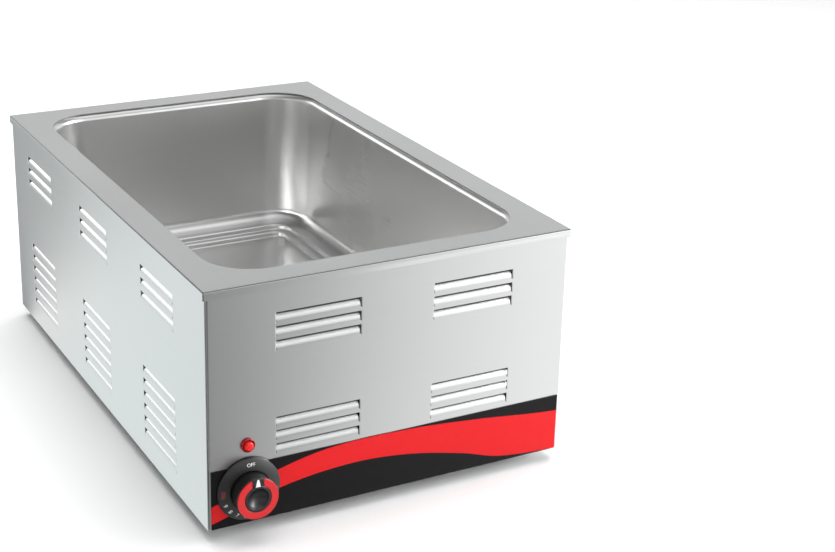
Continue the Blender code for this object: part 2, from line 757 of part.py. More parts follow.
def make_thermostat(cabinet, black, zinc, copper):
    front = (KNOB_X, -HALF_DEPTH, KNOB_Z)
    back = -(SHEET + GAP)
    body = box("thermostat_body", (-18 * MM, -22 * MM, back - 26 * MM), (18 * MM, 22 * MM, back))
    place(body, black, cabinet, front, FACING_FRONT)
    boolean(body, turned("thermostat_bush", [(0, -6 * MM), (5 * MM, -6 * MM), (5 * MM, 0), (0, 0)]), "UNION")
    drill(body, [(0, 0, 0)], SPINDLE_RADIUS + 0.4 * MM, 36 * MM)
    screw_holes = [(side * SCREW_OFFSET, 0, 0) for side in (-1, 1)]
    drill(body, screw_holes, 2.0 * MM, 24 * MM, steps=10)
    for side, x in (("left", -SCREW_OFFSET), ("right", SCREW_OFFSET)):
        fixing = screw(f"thermostat_screw_{side}", 3 * MM, 1.5 * MM, 1.6 * MM, 12 * MM)
        place(fixing, zinc, cabinet, (KNOB_X + x, -HALF_DEPTH - 5.4 * MM, KNOB_Z), FACING_REAR)

    bulb_x, bulb_z = 70 * MM, FLOOR_UNDERSIDE - 3.5 * MM
    bulb_end = -60 * MM
    bulb = turned(
        "thermostat_bulb",
        [(0, 0), (2 * MM, 0), (3 * MM, 2 * MM), (3 * MM, 78 * MM), (2 * MM, 80 * MM), (0, 80 * MM)],
        steps=12,
    )
    place(bulb, copper, cabinet, (bulb_x, bulb_end, bulb_z), FACING_REAR)
    saddle = [(-10, 0), (-10, -0.8), (-4.4, -0.8), (-4.4, -7.4)]
    saddle += [(4.4, -7.4), (4.4, -0.8), (10, -0.8), (10, 0)]
    saddle += [(3.6, 0), (3.6, -6.6), (-3.6, -6.6), (-3.6, 0)]
    clip = prism("bulb_clip", [(x * MM, z * MM) for x, z in saddle], 0, 10 * MM)
    place(clip, zinc, cabinet, (bulb_x, -20 * MM, FLOOR_UNDERSIDE - GAP), FACING_FRONT)

    thermostat_back = -HALF_DEPTH - back + 26 * MM + GAP
    route = [
        (bulb_x, bulb_end - GAP, bulb_z),
        (bulb_x, -90 * MM, 66 * MM),
        (bulb_x, -200 * MM, 64 * MM),
        (55 * MM, -225 * MM, 58 * MM),
        (0, -228 * MM, 60 * MM),
        (-80 * MM, -230 * MM, 54 * MM),
        (-125 * MM, -238 * MM, 52 * MM),
        (-132 * MM, -248 * MM, 54 * MM),
        (-132 * MM, thermostat_back, 54 * MM),
    ]
    place(tube("thermostat_capillary", smooth_route(route), 1.0 * MM), copper, cabinet)


def element_route():
    """A flat serpentine of four legs joined by half-turns, with both ends at the front."""
    route = [(ELEMENT_LEGS[0], ELEMENT_TERMINAL)]
    heading = 1
    for leg, following in zip(ELEMENT_LEGS, ELEMENT_LEGS[1:]):
        centre = ((leg + following) / 2, heading * ELEMENT_STRAIGHT)
        route += arc(centre, (following - leg) / 2, 180, 180 - heading * 180, 10)
        heading = -heading
    route.append((ELEMENT_LEGS[-1], ELEMENT_TERMINAL))
    return [(x, y, ELEMENT_Z) for x, y in route]


def make_heater(cabinet, steel, zinc, wool, black):
    place(tube("heating_element", element_route(), ELEMENT_RADIUS), steel, cabinet)
    bar_top = ELEMENT_Z - ELEMENT_RADIUS - 0.4 * MM
    bar_bottom = bar_top - 1.5 * MM
    for name, y in (("front", -CLAMP_Y), ("rear", CLAMP_Y)):
        bar = box(f"element_clamp_{name}", (-118 * MM, -8 * MM, bar_bottom), (118 * MM, 8 * MM, bar_top))
        place(bar, zinc, cabinet, (0, y, 0))
        drill(bar, [(0, 0, bar_top)], 2.5 * MM, 8 * MM, steps=12)
        stud_top = FLOOR_UNDERSIDE - GAP
        stud_profile = [(0, 32 * MM), (2 * MM, 32 * MM), (2 * MM, stud_top), (0, stud_top)]
        place(turned(f"clamp_stud_{name}", stud_profile, steps=12), zinc, cabinet, (0, y, 0))
        clamp_nut = nut(f"clamp_nut_{name}", 2.3 * MM, 4.2 * MM, bar_bottom - 3.8 * MM, bar_bottom - GAP)
        place(clamp_nut, zinc, cabinet, (0, y, 0))
        shield_nut = nut(f"shield_nut_{name}", 2.3 * MM, 4.2 * MM, 34 * MM, PAD_BOTTOM - GAP - SHEET - GAP)
        place(shield_nut, zinc, cabinet, (0, y, 0))

    studs = [(0, -CLAMP_Y, PAD_BOTTOM), (0, CLAMP_Y, PAD_BOTTOM)]
    pad = box("insulation_pad", (-140 * MM, -212 * MM, PAD_BOTTOM), (140 * MM, 212 * MM, PAD_TOP))
    place(pad, wool, cabinet)
    drill(pad, studs, 6 * MM, 30 * MM)
    tray = [(282, 426, PAD_TOP - 4 * MM), (282, 426, PAD_BOTTOM - GAP)]
    tray_out = [(283.6, 427.6, PAD_BOTTOM - GAP - SHEET), (283.6, 427.6, PAD_TOP - 4 * MM)]
    inside = [rounded_rectangle(w * MM, d * MM, 2 * MM, z, 2) for w, d, z in reversed(tray)]
    outside = [rounded_rectangle(w * MM, d * MM, 2.8 * MM, z, 2) for w, d, z in reversed(tray_out)]
    shield = loft("heat_shield", inside + outside, closed=False)
    place(shield, steel, cabinet)
    drill(shield, studs, 2.5 * MM, 8 * MM, steps=12)

    limit = turned(
        "high_limit_switch",
        [
            (0, -7 * MM),
            (6 * MM, -7 * MM),
            (6 * MM, -4 * MM),
            (8 * MM, -4 * MM),
            (8 * MM, -GAP),
            (0, -GAP),
        ],
        steps=16,
    )
    place(limit, black, cabinet, (0, -140 * MM, FLOOR_UNDERSIDE))


def make_wiring(cabinet, black, zinc, cream, green):
    block_top = 33 * MM
    block = box("terminal_block", (-70 * MM, -262 * MM, PLATE_TOP + GAP), (-10 * MM, -240 * MM, block_top))
    place(block, cream, cabinet)
    screw_holes = [(x * MM, -251 * MM, block_top) for x in (-60, -52, -44, -36, -28, -20)]
    drill(block, screw_holes, 2.2 * MM, 12 * MM, steps=10)

    stud_profile = [(0, 0), (3 * MM, 0), (3 * MM, 2 * MM), (2 * MM, 2 * MM), (2 * MM, 13 * MM), (0, 13 * MM)]
    earth_place = (20 * MM, -225 * MM, PLATE_TOP + GAP)
    place(turned("earth_stud", stud_profile, steps=12), zinc, cabinet, earth_place)
    place(nut("earth_nut", 2.3 * MM, 4.2 * MM, 3 * MM, 6.5 * MM), zinc, cabinet, earth_place)

    loom_start = HALF_DEPTH - 10.4 * MM
    loom = [
        (BUSHING_X, loom_start, BUSHING_Z),
        (124 * MM, 258 * MM, 44 * MM),
        (150 * MM, 230 * MM, 32 * MM),
        (163 * MM, 170 * MM, 26 * MM),
        (164 * MM, 0, 25 * MM),
        (163 * MM, -150 * MM, 25 * MM),
        (148 * MM, -212 * MM, 27 * MM),
        (100 * MM, -240 * MM, 26 * MM),
        (40 * MM, -251 * MM, 25 * MM),
        (-9.6 * MM, -251 * MM, 25 * MM),
    ]
    place(tube("supply_loom", smooth_route(loom), 3.5 * MM), black, cabinet)

    wire = block_top - 4 * MM
    thermostat_back = 26 * MM + SHEET + 2 * GAP - HALF_DEPTH
    terminal = ELEMENT_TERMINAL - GAP
    lamp_back = 24 * MM + GAP - HALF_DEPTH
    limit_front = -148.5 * MM
    leads = {
        "lead_thermostat": (
            (-60, -251, wire / MM),
            (-60, -251, 40),
            (-90, -246, 46),
            (-130, -246, 42),
            (-140, -250, 38),
            (-140, thermostat_back / MM, 38),
        ),
        "lead_element_left": (
            (-152, thermostat_back / MM, 57),
            (-152, -251, 57),
            (-138, -243, 64),
            (-112, -246, ELEMENT_Z / MM + 1),
            (-105, -241, ELEMENT_Z / MM),
            (-105, terminal / MM, ELEMENT_Z / MM),
        ),
        "lead_element_right": (
            (105, terminal / MM, ELEMENT_Z / MM),
            (105, -241, ELEMENT_Z / MM),
            (88, -246, 62),
            (40, -236, 54),
            (12, -205, 54),
            (6, -165, 56),
            (5, -156, 62),
            (5, limit_front / MM, 65),
        ),
        "lead_limit": (
            (-3, limit_front / MM, 65),
            (-3, -156, 61),
            (-3, -168, 56),
            (-4, -205, 55),
            (-12, -232, 50),
            (-28, -251, 40),
            (-28, -251, wire / MM),
        ),
        "lead_pilot_left": (
            (-146, lamp_back / MM, 89),
            (-146, -252, 89),
            (-128, -249, 78),
            (-96, -250, 72),
            (-66, -251, 54),
            (-52, -251, 40),
            (-52, -251, wire / MM),
        ),
        "lead_pilot_right": (
            (-140, lamp_back / MM, 91),
            (-140, -252, 91),
            (-120, -250, 86),
            (-86, -250, 80),
            (-56, -251, 60),
            (-44, -251, 42),
            (-44, -251, wire / MM),
        ),
        "lead_earth": (
            (-20, -251, wire / MM),
            (-20, -251, 37),
            (-8, -244, 40),
            (12, -229, 36),
            (20, -225, 32),
            (20, -225, (PLATE_TOP + 2 * GAP) / MM + 13),
        ),
    }
    for name, points in leads.items():
        route = smooth_route([[value * MM for value in point] for point in points])
        place(tube(name, route, 1.3 * MM), green if name == "lead_earth" else black, cabinet)


def make_bushing(cabinet, black):
    rear = (BUSHING_X, HALF_DEPTH, BUSHING_Z)
    bushing = turned(
        "lead_bushing",
        [
            (3.8 * MM, -9 * MM),
            (7.7 * MM, -9 * MM),
            (7.7 * MM, GAP),
            (11 * MM, GAP),
            (11 * MM, 2.6 * MM),
            (10 * MM, 3.6 * MM),
            (7.6 * MM, 4.4 * MM),
            (6.2 * MM, BUSHING_REACH),
            (3.8 * MM, BUSHING_REACH),
        ],
    )
    place(bushing, black, cabinet, rear, FACING_REAR)
    place(nut("bushing_nut", 8.3 * MM, 12 * MM, -5 * MM, -SHEET - GAP), black, cabinet, rear, FACING_REAR)


def main():
    for obj in list(bpy.data.objects):
        bpy.data.objects.remove(obj)

    brushed = principled("brushed_steel", (0.62, 0.62, 0.61), 0.32, 1.0)
    drawn = principled("drawn_steel", (0.60, 0.60, 0.59), 0.28, 1.0)
    plain = principled("plain_steel", (0.50, 0.51, 0.52), 0.45, 1.0)
    zinc = principled("zinc", (0.66, 0.66, 0.64), 0.35, 1.0)
    copper = principled("copper", (0.72, 0.42, 0.28), 0.35, 1.0)
    black = principled("black_plastic", (0.02, 0.02, 0.022), 0.38, 0.0)
    cream = principled("cream_plastic", (0.75, 0.70, 0.58), 0.5, 0.0)
    green = principled("green_insulation", (0.08, 0.35, 0.10), 0.45, 0.0)
    red = principled("red_insert", (0.65, 0.02, 0.03), 0.35, 0.0)
    white = principled("white_insert", (0.85, 0.85, 0.83), 0.4, 0.0)
    red_glass = principled("red_lens", (0.60, 0.01, 0.02), 0.1, 0.0)
    ink = principled("printed_film", (0.03, 0.03, 0.032), 0.3, 0.0)
    rubber = principled("rubber", (0.03, 0.03, 0.03), 0.8, 0.0)
    wool = principled("mineral_wool", (0.72, 0.68, 0.55), 0.95, 0.0)

    cabinet = bpy.data.objects.new("cabinet", None)
    cabinet.location = (0, CABINET_Y, 0)
    knob_axis = bpy.data.objects.new("knob_axis", None)
    knob_axis.parent = cabinet
    knob_axis.location = (KNOB_X, -HALF_DEPTH, KNOB_Z)
    for empty in (cabinet, knob_axis):
        bpy.context.collection.objects.link(empty)

    make_deck(cabinet, brushed)
    make_well(cabinet, drawn)
    make_housing(cabinet, brushed)
    make_base(cabinet, plain, rubber, zinc)
    make_front_trim(cabinet, ink, red_glass, black, zinc)
    make_knob(knob_axis, black, red, white, zinc)
    make_thermostat(cabinet, black, zinc, copper)
    make_heater(cabinet, plain, zinc, wool, black)
    make_wiring(cabinet, black, zinc, cream, green)
    make_bushing(cabinet, black)


main()
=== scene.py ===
"""Looks of a countertop steam table.

It has a brushed steel cabinet with louvres, a drawn steel well and a dial thermostat. Everything is in
metres in the CAD's own frame: +Z up, the front with the knob facing -Y.
"""

import json
import math

import bmesh
import bpy
from mathutils import Matrix, Quaternion, Vector


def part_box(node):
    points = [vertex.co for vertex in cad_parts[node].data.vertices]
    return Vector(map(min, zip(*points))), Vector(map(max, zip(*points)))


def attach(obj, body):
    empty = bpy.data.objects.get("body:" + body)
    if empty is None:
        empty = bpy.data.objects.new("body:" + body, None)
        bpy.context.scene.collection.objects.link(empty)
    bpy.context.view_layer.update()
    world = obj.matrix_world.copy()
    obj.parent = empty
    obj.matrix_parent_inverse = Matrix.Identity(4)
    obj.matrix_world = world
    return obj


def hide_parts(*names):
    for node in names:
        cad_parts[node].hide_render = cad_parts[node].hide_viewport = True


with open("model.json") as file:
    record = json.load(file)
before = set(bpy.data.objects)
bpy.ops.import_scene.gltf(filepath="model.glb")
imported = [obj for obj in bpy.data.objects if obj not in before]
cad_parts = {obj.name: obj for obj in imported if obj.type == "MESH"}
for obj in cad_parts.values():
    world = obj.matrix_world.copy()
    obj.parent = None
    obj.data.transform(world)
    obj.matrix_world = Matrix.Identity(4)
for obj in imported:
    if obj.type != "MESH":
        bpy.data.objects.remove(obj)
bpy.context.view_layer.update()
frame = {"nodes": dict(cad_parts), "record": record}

MM = 0.001
CABINET = "cabinet"
KNOB = "knob"

deck_low, deck_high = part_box("top_deck")
body_low, body_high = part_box("housing_front_right")
bezel_low, bezel_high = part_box("dial_bezel")
lens_low, lens_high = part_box("pilot_lens")
rear_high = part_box("housing_rear_left")[1]

CENTRE = (deck_low + deck_high) / 2
DECK_TOP = deck_high.z
DECK_WIDTH = deck_high.x - deck_low.x
DECK_DEPTH = deck_high.y - deck_low.y
FRONT_Y = body_low.y
BODY_BOTTOM = body_low.z
BODY_TOP = body_high.z
KNOB_X = (bezel_low.x + bezel_high.x) / 2
KNOB_Z = (bezel_low.z + bezel_high.z) / 2
PILOT_Z = (lens_low.z + lens_high.z) / 2

OPENING_WIDTH = 310 * MM
OPENING_DEPTH = 514 * MM
OPENING_CORNER = 48 * MM
DECK_SHEET = 1.0 * MM
SHEET = 0.8 * MM

SMOOTH = 32  # degrees: a sharper edge than this stays an edge
SAME = 1e-6  # heights closer than this are the same
DRILL = 12 * MM  # length of the cutters that bore the sheets
SCREW_OFFSET = 12 * MM  # from the dial's centre to each of its two screws

FACING_FRONT = Matrix.Rotation(math.pi / 2, 4, "X")
CONTROL_FACE = Matrix.Translation((KNOB_X, FRONT_Y, KNOB_Z)) @ FACING_FRONT


# ---------------------------------------------------------------- camera and light


def make_camera():
    data = bpy.data.cameras.new("camera")
    data.sensor_width = 36
    data.lens = 71.47
    data.shift_x = 0.0359
    data.shift_y = -0.0719
    camera = bpy.data.objects.new("camera", data)
    camera.location = (-0.6542, -1.4690, 0.7682)
    heading = Matrix.Rotation(math.radians(-28.39), 4, "Z")
    tilt = Matrix.Rotation(math.radians(90 - 19.77), 4, "X")
    roll = Matrix.Rotation(math.radians(1.28), 4, "Z")
    camera.rotation_euler = (heading @ tilt @ roll).to_euler()
    bpy.context.scene.collection.objects.link(camera)
    bpy.context.scene.camera = camera


def softbox(name, place, target, size, power):
    """A rectangular lamp that faces the target."""
    data = bpy.data.lights.new(name, "AREA")
    data.shape = "RECTANGLE"
    data.size, data.size_y = size
    data.energy = power
    lamp = bpy.data.objects.new(name, data)
    lamp.location = place
    lamp.rotation_euler = (Vector(target) - Vector(place)).to_track_quat("-Z", "Y").to_euler()
    bpy.context.scene.collection.objects.link(lamp)
    lamp.visible_camera = False
    return lamp


def make_studio():
    scene = bpy.context.scene
    scene.view_settings.view_transform = "Standard"
    scene.cycles.use_denoising = True
    scene.cycles.max_bounces = 16
    scene.cycles.glossy_bounces = 12
    make_surroundings()
    make_lamps()
    make_floor()
    make_reflection_cards()


def make_surroundings():
    """A room whose brightness changes with height and fades to the left."""
    world = bpy.data.worlds.new("studio")
    bpy.context.scene.world = world
    world.use_nodes = True
    tree = world.node_tree
    background = tree.nodes["Background"]
    coordinates = tree.nodes.new("ShaderNodeTexCoord")
    split = tree.nodes.new("ShaderNodeSeparateXYZ")
    ramp = tree.nodes.new("ShaderNodeValToRGB")
    tree.links.new(coordinates.outputs["Generated"], split.inputs[0])
    tree.links.new(split.outputs["Z"], ramp.inputs[0])
    tree.links.new(ramp.outputs["Color"], background.inputs["Color"])
    levels = ((0.0, 1.0), (0.20, 0.80), (0.30, 0.82), (0.39, 1.28), (0.48, 0.26), (0.77, 0.24), (0.9, 0.9))
    for i, (position, level) in enumerate(levels):
        stop = ramp.color_ramp.elements[i] if i < 2 else ramp.color_ramp.elements.new(position)
        stop.position = position
        stop.color = (level, level, level * 1.01, 1)
    sideways = tree.nodes.new("ShaderNodeMapRange")
    sideways.interpolation_type = "SMOOTHSTEP"
    limits = {"From Min": -0.2, "From Max": 0.25, "To Min": 0.6, "To Max": 0.96}
    for socket, value in limits.items():
        sideways.inputs[socket].default_value = value
    tree.links.new(split.outputs["X"], sideways.inputs["Value"])
    tree.links.new(sideways.outputs["Result"], background.inputs["Strength"])


def make_lamps():
    fill = softbox("top_fill", (0.1, 0.3, 2.4), (0, 0, 0.1), (2.6, 2.6), 70)
    fill.visible_glossy = False
    softbox("front_softbox", (0.6, -1.15, 2.05), (0, -0.1, 0.1), (3.2, 2.9), 9)
    softbox("right_softbox", (2.0, -1.05, 0.95), (0, 0.1, 0.1), (1.1, 1.0), 34)
    softbox("key_softbox", (1.15, -1.30, 0.40), (-0.14, -0.28, 0.15), (0.9, 0.9), 4)
    softbox("rear_softbox", (-1.18, 2.25, 0.58), (-0.18, 0, 0.15), (1.8, 0.95), 9)


def make_floor():
    reach, drop = 6, 0.1 * MM  # just under the feet, so that no face lies in the floor
    corners = ((-reach, -reach), (reach, -reach), (reach, reach), (-reach, reach))
    floor = mesh_object("floor", [(x, y, -drop) for x, y in corners], [(0, 1, 2, 3)])
    floor.data.materials.append(new_material("floor_paper", (0.9, 0.9, 0.9), 0.85, 0.0)[0])


def make_reflection_cards():
    """One card on each side of the object, a little outside its faces."""
    reach, gap, right_gap = 4, 4 * MM, 8 * MM
    front, back = FRONT_Y - gap, body_high.y + gap
    left, right = body_low.x - gap, body_high.x + right_gap
    white, cool = (1, 1, 1), (0.94, 1, 1)
    shades = ((-0.8, 0.10), (-0.36, 0.32), (-0.225, 0.73), (-0.13, 0.95), (0.03, 1.22), (0.40, 1.5))
    reflection_card("front_card", (-reach, -reach), (reach, front), (1, 0.54), shades, white)
    shades = ((-0.62, 1.04), (-0.32, 1.05), (-0.07, 0.36))
    reflection_card("left_card", (-reach, front), (left, reach), (1.85, 1), shades, cool)
    shades = ((-0.2, 0.85), (0.7, 0.6))
    reflection_card("right_card", (right, front), (reach, reach), (1, 0.6), shades, white)
    shades = ((-0.2, 0.5), (0.6, 0.85))
    reflection_card("rear_card", (left, back), (right, reach), (1, 0.3), shades, white)


def reflection_card(name, low, high, along, shades, tint):
    """A glowing sheet just above the floor that only reflections see; shades are (place along, level)."""
    height = 0.5 * MM
    points = [(low[0], low[1], height), (high[0], low[1], height)]
    points += [(high[0], high[1], height), (low[0], high[1], height)]
    card = mesh_object(name, points, [(0, 1, 2, 3)])
    material = bpy.data.materials.new(name)
    material.use_nodes = True
    tree = material.node_tree
    tree.nodes.remove(tree.nodes["Principled BSDF"])
    nodes = Nodes(tree, None)
    place = nodes.add("TexCoord")
    across = nodes.add("VectorMath", operation="DOT_PRODUCT")
    across.inputs[1].default_value = (*along, 0)
    nodes.join(place.outputs["Object"], across.inputs[0])
    ramp = nodes.add("ValToRGB")
    start, end = shades[0][0], shades[-1][0]
    share = nodes.add("MapRange")
    share.inputs["From Min"].default_value = start
    share.inputs["From Max"].default_value = end
    nodes.join(across.outputs["Value"], share.inputs["Value"])
    nodes.join(share.outputs["Result"], ramp.inputs[0])
    brightest = max(level for _, level in shades)
    for i, (position, level) in enumerate(shades):
        share_along = (position - start) / (end - start)
        stop = ramp.color_ramp.elements[0] if i == 0 else ramp.color_ramp.elements.new(share_along)
        stop.color = (*(level / brightest * part for part in tint), 1)
    glow = nodes.add("Emission")
    glow.inputs["Strength"].default_value = brightest
    nodes.join(ramp.outputs["Color"], glow.inputs["Color"])
    nodes.join(glow.outputs[0], tree.nodes["Material Output"].inputs["Surface"])
    card.data.materials.append(material)
    card.visible_camera = False
    card.visible_diffuse = False
    card.visible_shadow = False
    card.visible_transmission = False


# ---------------------------------------------------------------- materials


def new_material(name, colour, roughness, metallic, **sockets):
    """A Principled material; the extra words set its other sockets."""
    material = bpy.data.materials.new(name)
    material.use_nodes = True
    tree = material.node_tree
    shader = tree.nodes["Principled BSDF"]
    shader.inputs["Base Color"].default_value = (*colour, 1)
    shader.inputs["Roughness"].default_value = roughness
    shader.inputs["Metallic"].default_value = metallic
    for socket, value in sockets.items():
        shader.inputs[socket.replace("_", " ")].default_value = value
    return material, tree, shader


class Nodes:
    """Short ways to add and join texture nodes in one material."""

    def __init__(self, tree, shader):
        self.tree = tree
        self.shader = shader

    def add(self, kind, **settings):
        node = self.tree.nodes.new(f"ShaderNode{kind}")
        for name, value in settings.items():
            setattr(node, name, value)
        return node

    def join(self, start, end):
        self.tree.links.new(start, end)

    def coordinates(self, kind, scale):
        source = self.add("TexCoord")
        mapping = self.add("Mapping")
        mapping.inputs["Scale"].default_value = scale
        self.join(source.outputs[kind], mapping.inputs["Vector"])
        return mapping.outputs["Vector"]

    def noise(self, vector, scale, detail=2.0, roughness=0.5):
        node = self.add("TexNoise")
        node.inputs["Scale"].default_value = scale
        node.inputs["Detail"].default_value = detail
        node.inputs["Roughness"].default_value = roughness
        self.join(vector, node.inputs["Vector"])
        return node.outputs["Fac"]

    def spread(self, value, low, high):
        """A value from 0 to 1 moved to the range low to high."""
        node = self.add("MapRange")
        node.inputs["From Min"].default_value = 0.25
        node.inputs["From Max"].default_value = 0.75
        node.inputs["To Min"].default_value = low
        node.inputs["To Max"].default_value = high
        self.join(value, node.inputs["Value"])
        return node.outputs["Result"]

    def mix(self, factor, first, second):
        node = self.add("Mix", data_type="RGBA")
        node.inputs["A"].default_value = (*first, 1)
        node.inputs["B"].default_value = (*second, 1)
        self.join(factor, node.inputs["Factor"])
        return node.outputs["Result"]

    def total(self, *values):
        first = values[0]
        for value in values[1:]:
            node = self.add("Math", operation="ADD")
            self.join(first, node.inputs[0])
            self.join(value, node.inputs[1])
            first = node.outputs[0]
        return first

    def bump(self, height):
        """Raises the surface; a height of 1 is one millimetre."""
        node = self.add("Bump")
        node.inputs["Strength"].default_value = 1.0
        node.inputs["Distance"].default_value = 1 * MM
        self.join(height, node.inputs["Height"])
        self.join(node.outputs["Normal"], self.shader.inputs["Normal"])


def brushed_steel(name, colour, roughness, grain, streaks=0.02, anisotropy=0.5, waviness=0.6):
    """Steel brushed along the mesh's own U direction, whose unit is the metre."""
    material, tree, shader = new_material(name, colour, roughness, 1.0, Anisotropic=anisotropy)
    nodes = Nodes(tree, shader)
    tangent = nodes.add("Tangent", direction_type="UV_MAP", uv_map="grain")
    nodes.join(tangent.outputs["Tangent"], shader.inputs["Tangent"])
    fine = nodes.noise(nodes.coordinates("UV", (9, 1600, 1)), 1.0, 3, 0.6)
    broad = nodes.noise(nodes.coordinates("UV", (3, 210, 1)), 1.0, 2, 0.5)
    patches = nodes.noise(nodes.coordinates("Object", (5, 5, 5)), 1.0, 2, 0.5)
    brighter = tuple(min(1, value * 1.015) for value in colour)
    darker = tuple(value * 0.985 for value in colour)
    nodes.join(nodes.mix(broad, darker, brighter), shader.inputs["Base Color"])
    spots = nodes.spread(patches, -0.02, 0.02)
    lines = nodes.spread(fine, roughness - streaks, roughness + streaks)
    nodes.join(nodes.total(lines, spots), shader.inputs["Roughness"])
    wave = nodes.noise(nodes.coordinates("Object", (2.2, 2.2, 3.2)), 1.0, 1, 0.4)
    height = nodes.total(
        nodes.spread(fine, 0, grain), nodes.spread(broad, 0, grain * 1.5), nodes.spread(wave, 0, waviness)
    )
    nodes.bump(height)
    return material


def moulded_plastic(name, colour, roughness, grain=0.02, **sockets):
    material, tree, shader = new_material(name, colour, roughness, 0.0, **sockets)
    nodes = Nodes(tree, shader)
    place = nodes.coordinates("Object", (1, 1, 1))
    fine = nodes.noise(place, 2600, 2)
    smears = nodes.noise(place, 90, 3)
    nodes.join(nodes.spread(smears, roughness * 0.93, roughness * 1.08), shader.inputs["Roughness"])
    paler = tuple(min(1, value * 1.04 + 0.002) for value in colour)
    nodes.join(nodes.mix(smears, colour, paler), shader.inputs["Base Color"])
    nodes.bump(nodes.spread(fine, 0, grain))
    return material


def plated_metal(name, colour, roughness):
    material, tree, shader = new_material(name, colour, roughness, 1.0)
    nodes = Nodes(tree, shader)
    place = nodes.coordinates("Object", (1, 1, 1))
    cloud = nodes.noise(place, 140, 4, 0.6)
    nodes.join(nodes.spread(cloud, roughness * 0.75, roughness * 1.3), shader.inputs["Roughness"])
    nodes.join(nodes.mix(cloud, tuple(v * 0.85 for v in colour), colour), shader.inputs["Base Color"])
    nodes.bump(nodes.spread(cloud, 0, 0.03))
    return material


def fibre(name, colour):
    material, tree, shader = new_material(name, colour, 0.95, 0.0, Sheen_Weight=0.3)
    nodes = Nodes(tree, shader)
    strands = nodes.noise(nodes.coordinates("Object", (500, 120, 500)), 1.0, 4, 0.7)
    nodes.join(nodes.mix(strands, tuple(v * 0.75 for v in colour), colour), shader.inputs["Base Color"])
    nodes.bump(nodes.spread(strands, 0, 0.5))
    return material


# ---------------------------------------------------------------- mesh helpers


def mesh_object(name, points, faces, uvs=None, smooth=None):
    """A mesh with outward faces; uvs holds one pair for each point, smooth an angle in degrees."""
    mesh = bpy.data.meshes.new(name)
    mesh.from_pydata([tuple(point) for point in points], [], faces)
    if uvs:
        layer = mesh.uv_layers.new(name="grain")
        for loop in mesh.loops:
            layer.data[loop.index].uv = uvs[loop.vertex_index]
    shape = bmesh.new()
    shape.from_mesh(mesh)
    bmesh.ops.remove_doubles(shape, verts=shape.verts, dist=1e-7)
    bmesh.ops.recalc_face_normals(shape, faces=shape.faces)
    shape.to_mesh(mesh)
    shape.free()
    if smooth:
        mesh.shade_smooth()
        mesh.set_sharp_from_angle(angle=math.radians(smooth))
    piece = bpy.data.objects.new(name, mesh)
    bpy.context.scene.collection.objects.link(piece)
    return piece


def dress(piece, material, body, replaced=(), matrix=None):
    """Gives a piece its material and its place in the model, and hides the CAD nodes that it replaces."""
    piece.data.materials.append(material)
    if matrix:
        piece.matrix_world = matrix
    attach(piece, body)
    if replaced:
        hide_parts(*replaced)
    return piece


def arc(centre, radius, start, end, steps):
    angles = [math.radians(start + (end - start) * step / steps) for step in range(steps + 1)]
    return [(centre[0] + radius * math.cos(a), centre[1] + radius * math.sin(a)) for a in angles]


def turned(name, profile, steps):
    """A closed profile of (radius, height) points turned about local Z."""
    count = len(profile)
    turns = [2 * math.pi * step / steps for step in range(steps)]
    points = [(r * math.cos(turn), r * math.sin(turn), z) for turn in turns for r, z in profile]
    faces = []
    for step in range(steps):
        here, ahead = step * count, (step + 1) % steps * count
        for i in range(count):
            j = (i + 1) % count
            if profile[i][0] > 0 or profile[j][0] > 0:
                faces.append((here + i, here + j, ahead + j, ahead + i))
    return mesh_object(name, points, faces, smooth=SMOOTH)


def prism(name, outline, low, high):
    count = len(outline)
    points = [(x, y, z) for z in (low, high) for x, y in outline]
    faces = [tuple(range(count)), tuple(range(count, 2 * count))]
    faces += [(i, (i + 1) % count, count + (i + 1) % count, count + i) for i in range(count)]
    return mesh_object(name, points, faces, smooth=SMOOTH)


def flatten_shading(piece):
    """Keeps the shading of large flat faces flat beside their rounded edges."""
    normals = piece.modifiers.new("normals", "WEIGHTED_NORMAL")
    normals.keep_sharp = True


def bore(piece, holes):
    """Cuts round holes along Y; each is (x, y, z, radius)."""
    shape = bmesh.new()
    for x, y, z, radius in holes:
        place = Matrix.Translation((x, y, z)) @ FACING_FRONT
        bmesh.ops.create_cone(
            shape, cap_ends=True, segments=64, radius1=radius, radius2=radius, depth=DRILL, matrix=place
        )
    mesh = bpy.data.meshes.new("drills")
    shape.to_mesh(mesh)
    shape.free()
    drills = bpy.data.objects.new("drills", mesh)
    bpy.context.scene.collection.objects.link(drills)
    cut = piece.modifiers.new("bores", "BOOLEAN")
    cut.solver = "EXACT"
    cut.object = drills
    evaluated = piece.evaluated_get(bpy.context.evaluated_depsgraph_get())
    piece.data = bpy.data.meshes.new_from_object(evaluated)
    piece.modifiers.remove(cut)
    bpy.data.objects.remove(drills)


def round_edges(piece, width, segments=2):
    bevel = piece.modifiers.new("edges", "BEVEL")
    bevel.width = width
    bevel.segments = segments
    bevel.limit_method = "ANGLE"
    bevel.angle_limit = math.radians(35)
    flatten_shading(piece)


def rounded_rectangle(width, depth, radius, height, steps=14):
    """A level ring of points about the cabinet's centre."""
    corners = (
        (width / 2 - radius, depth / 2 - radius, 0),
        (radius - width / 2, depth / 2 - radius, 90),
        (radius - width / 2, radius - depth / 2, 180),
        (width / 2 - radius, radius - depth / 2, 270),
    )
    outline = []
    for x, y, start in corners:
        outline += arc((x, y), radius, start, start + 90, steps)
    return [(CENTRE.x + x, CENTRE.y + y, height) for x, y in outline]


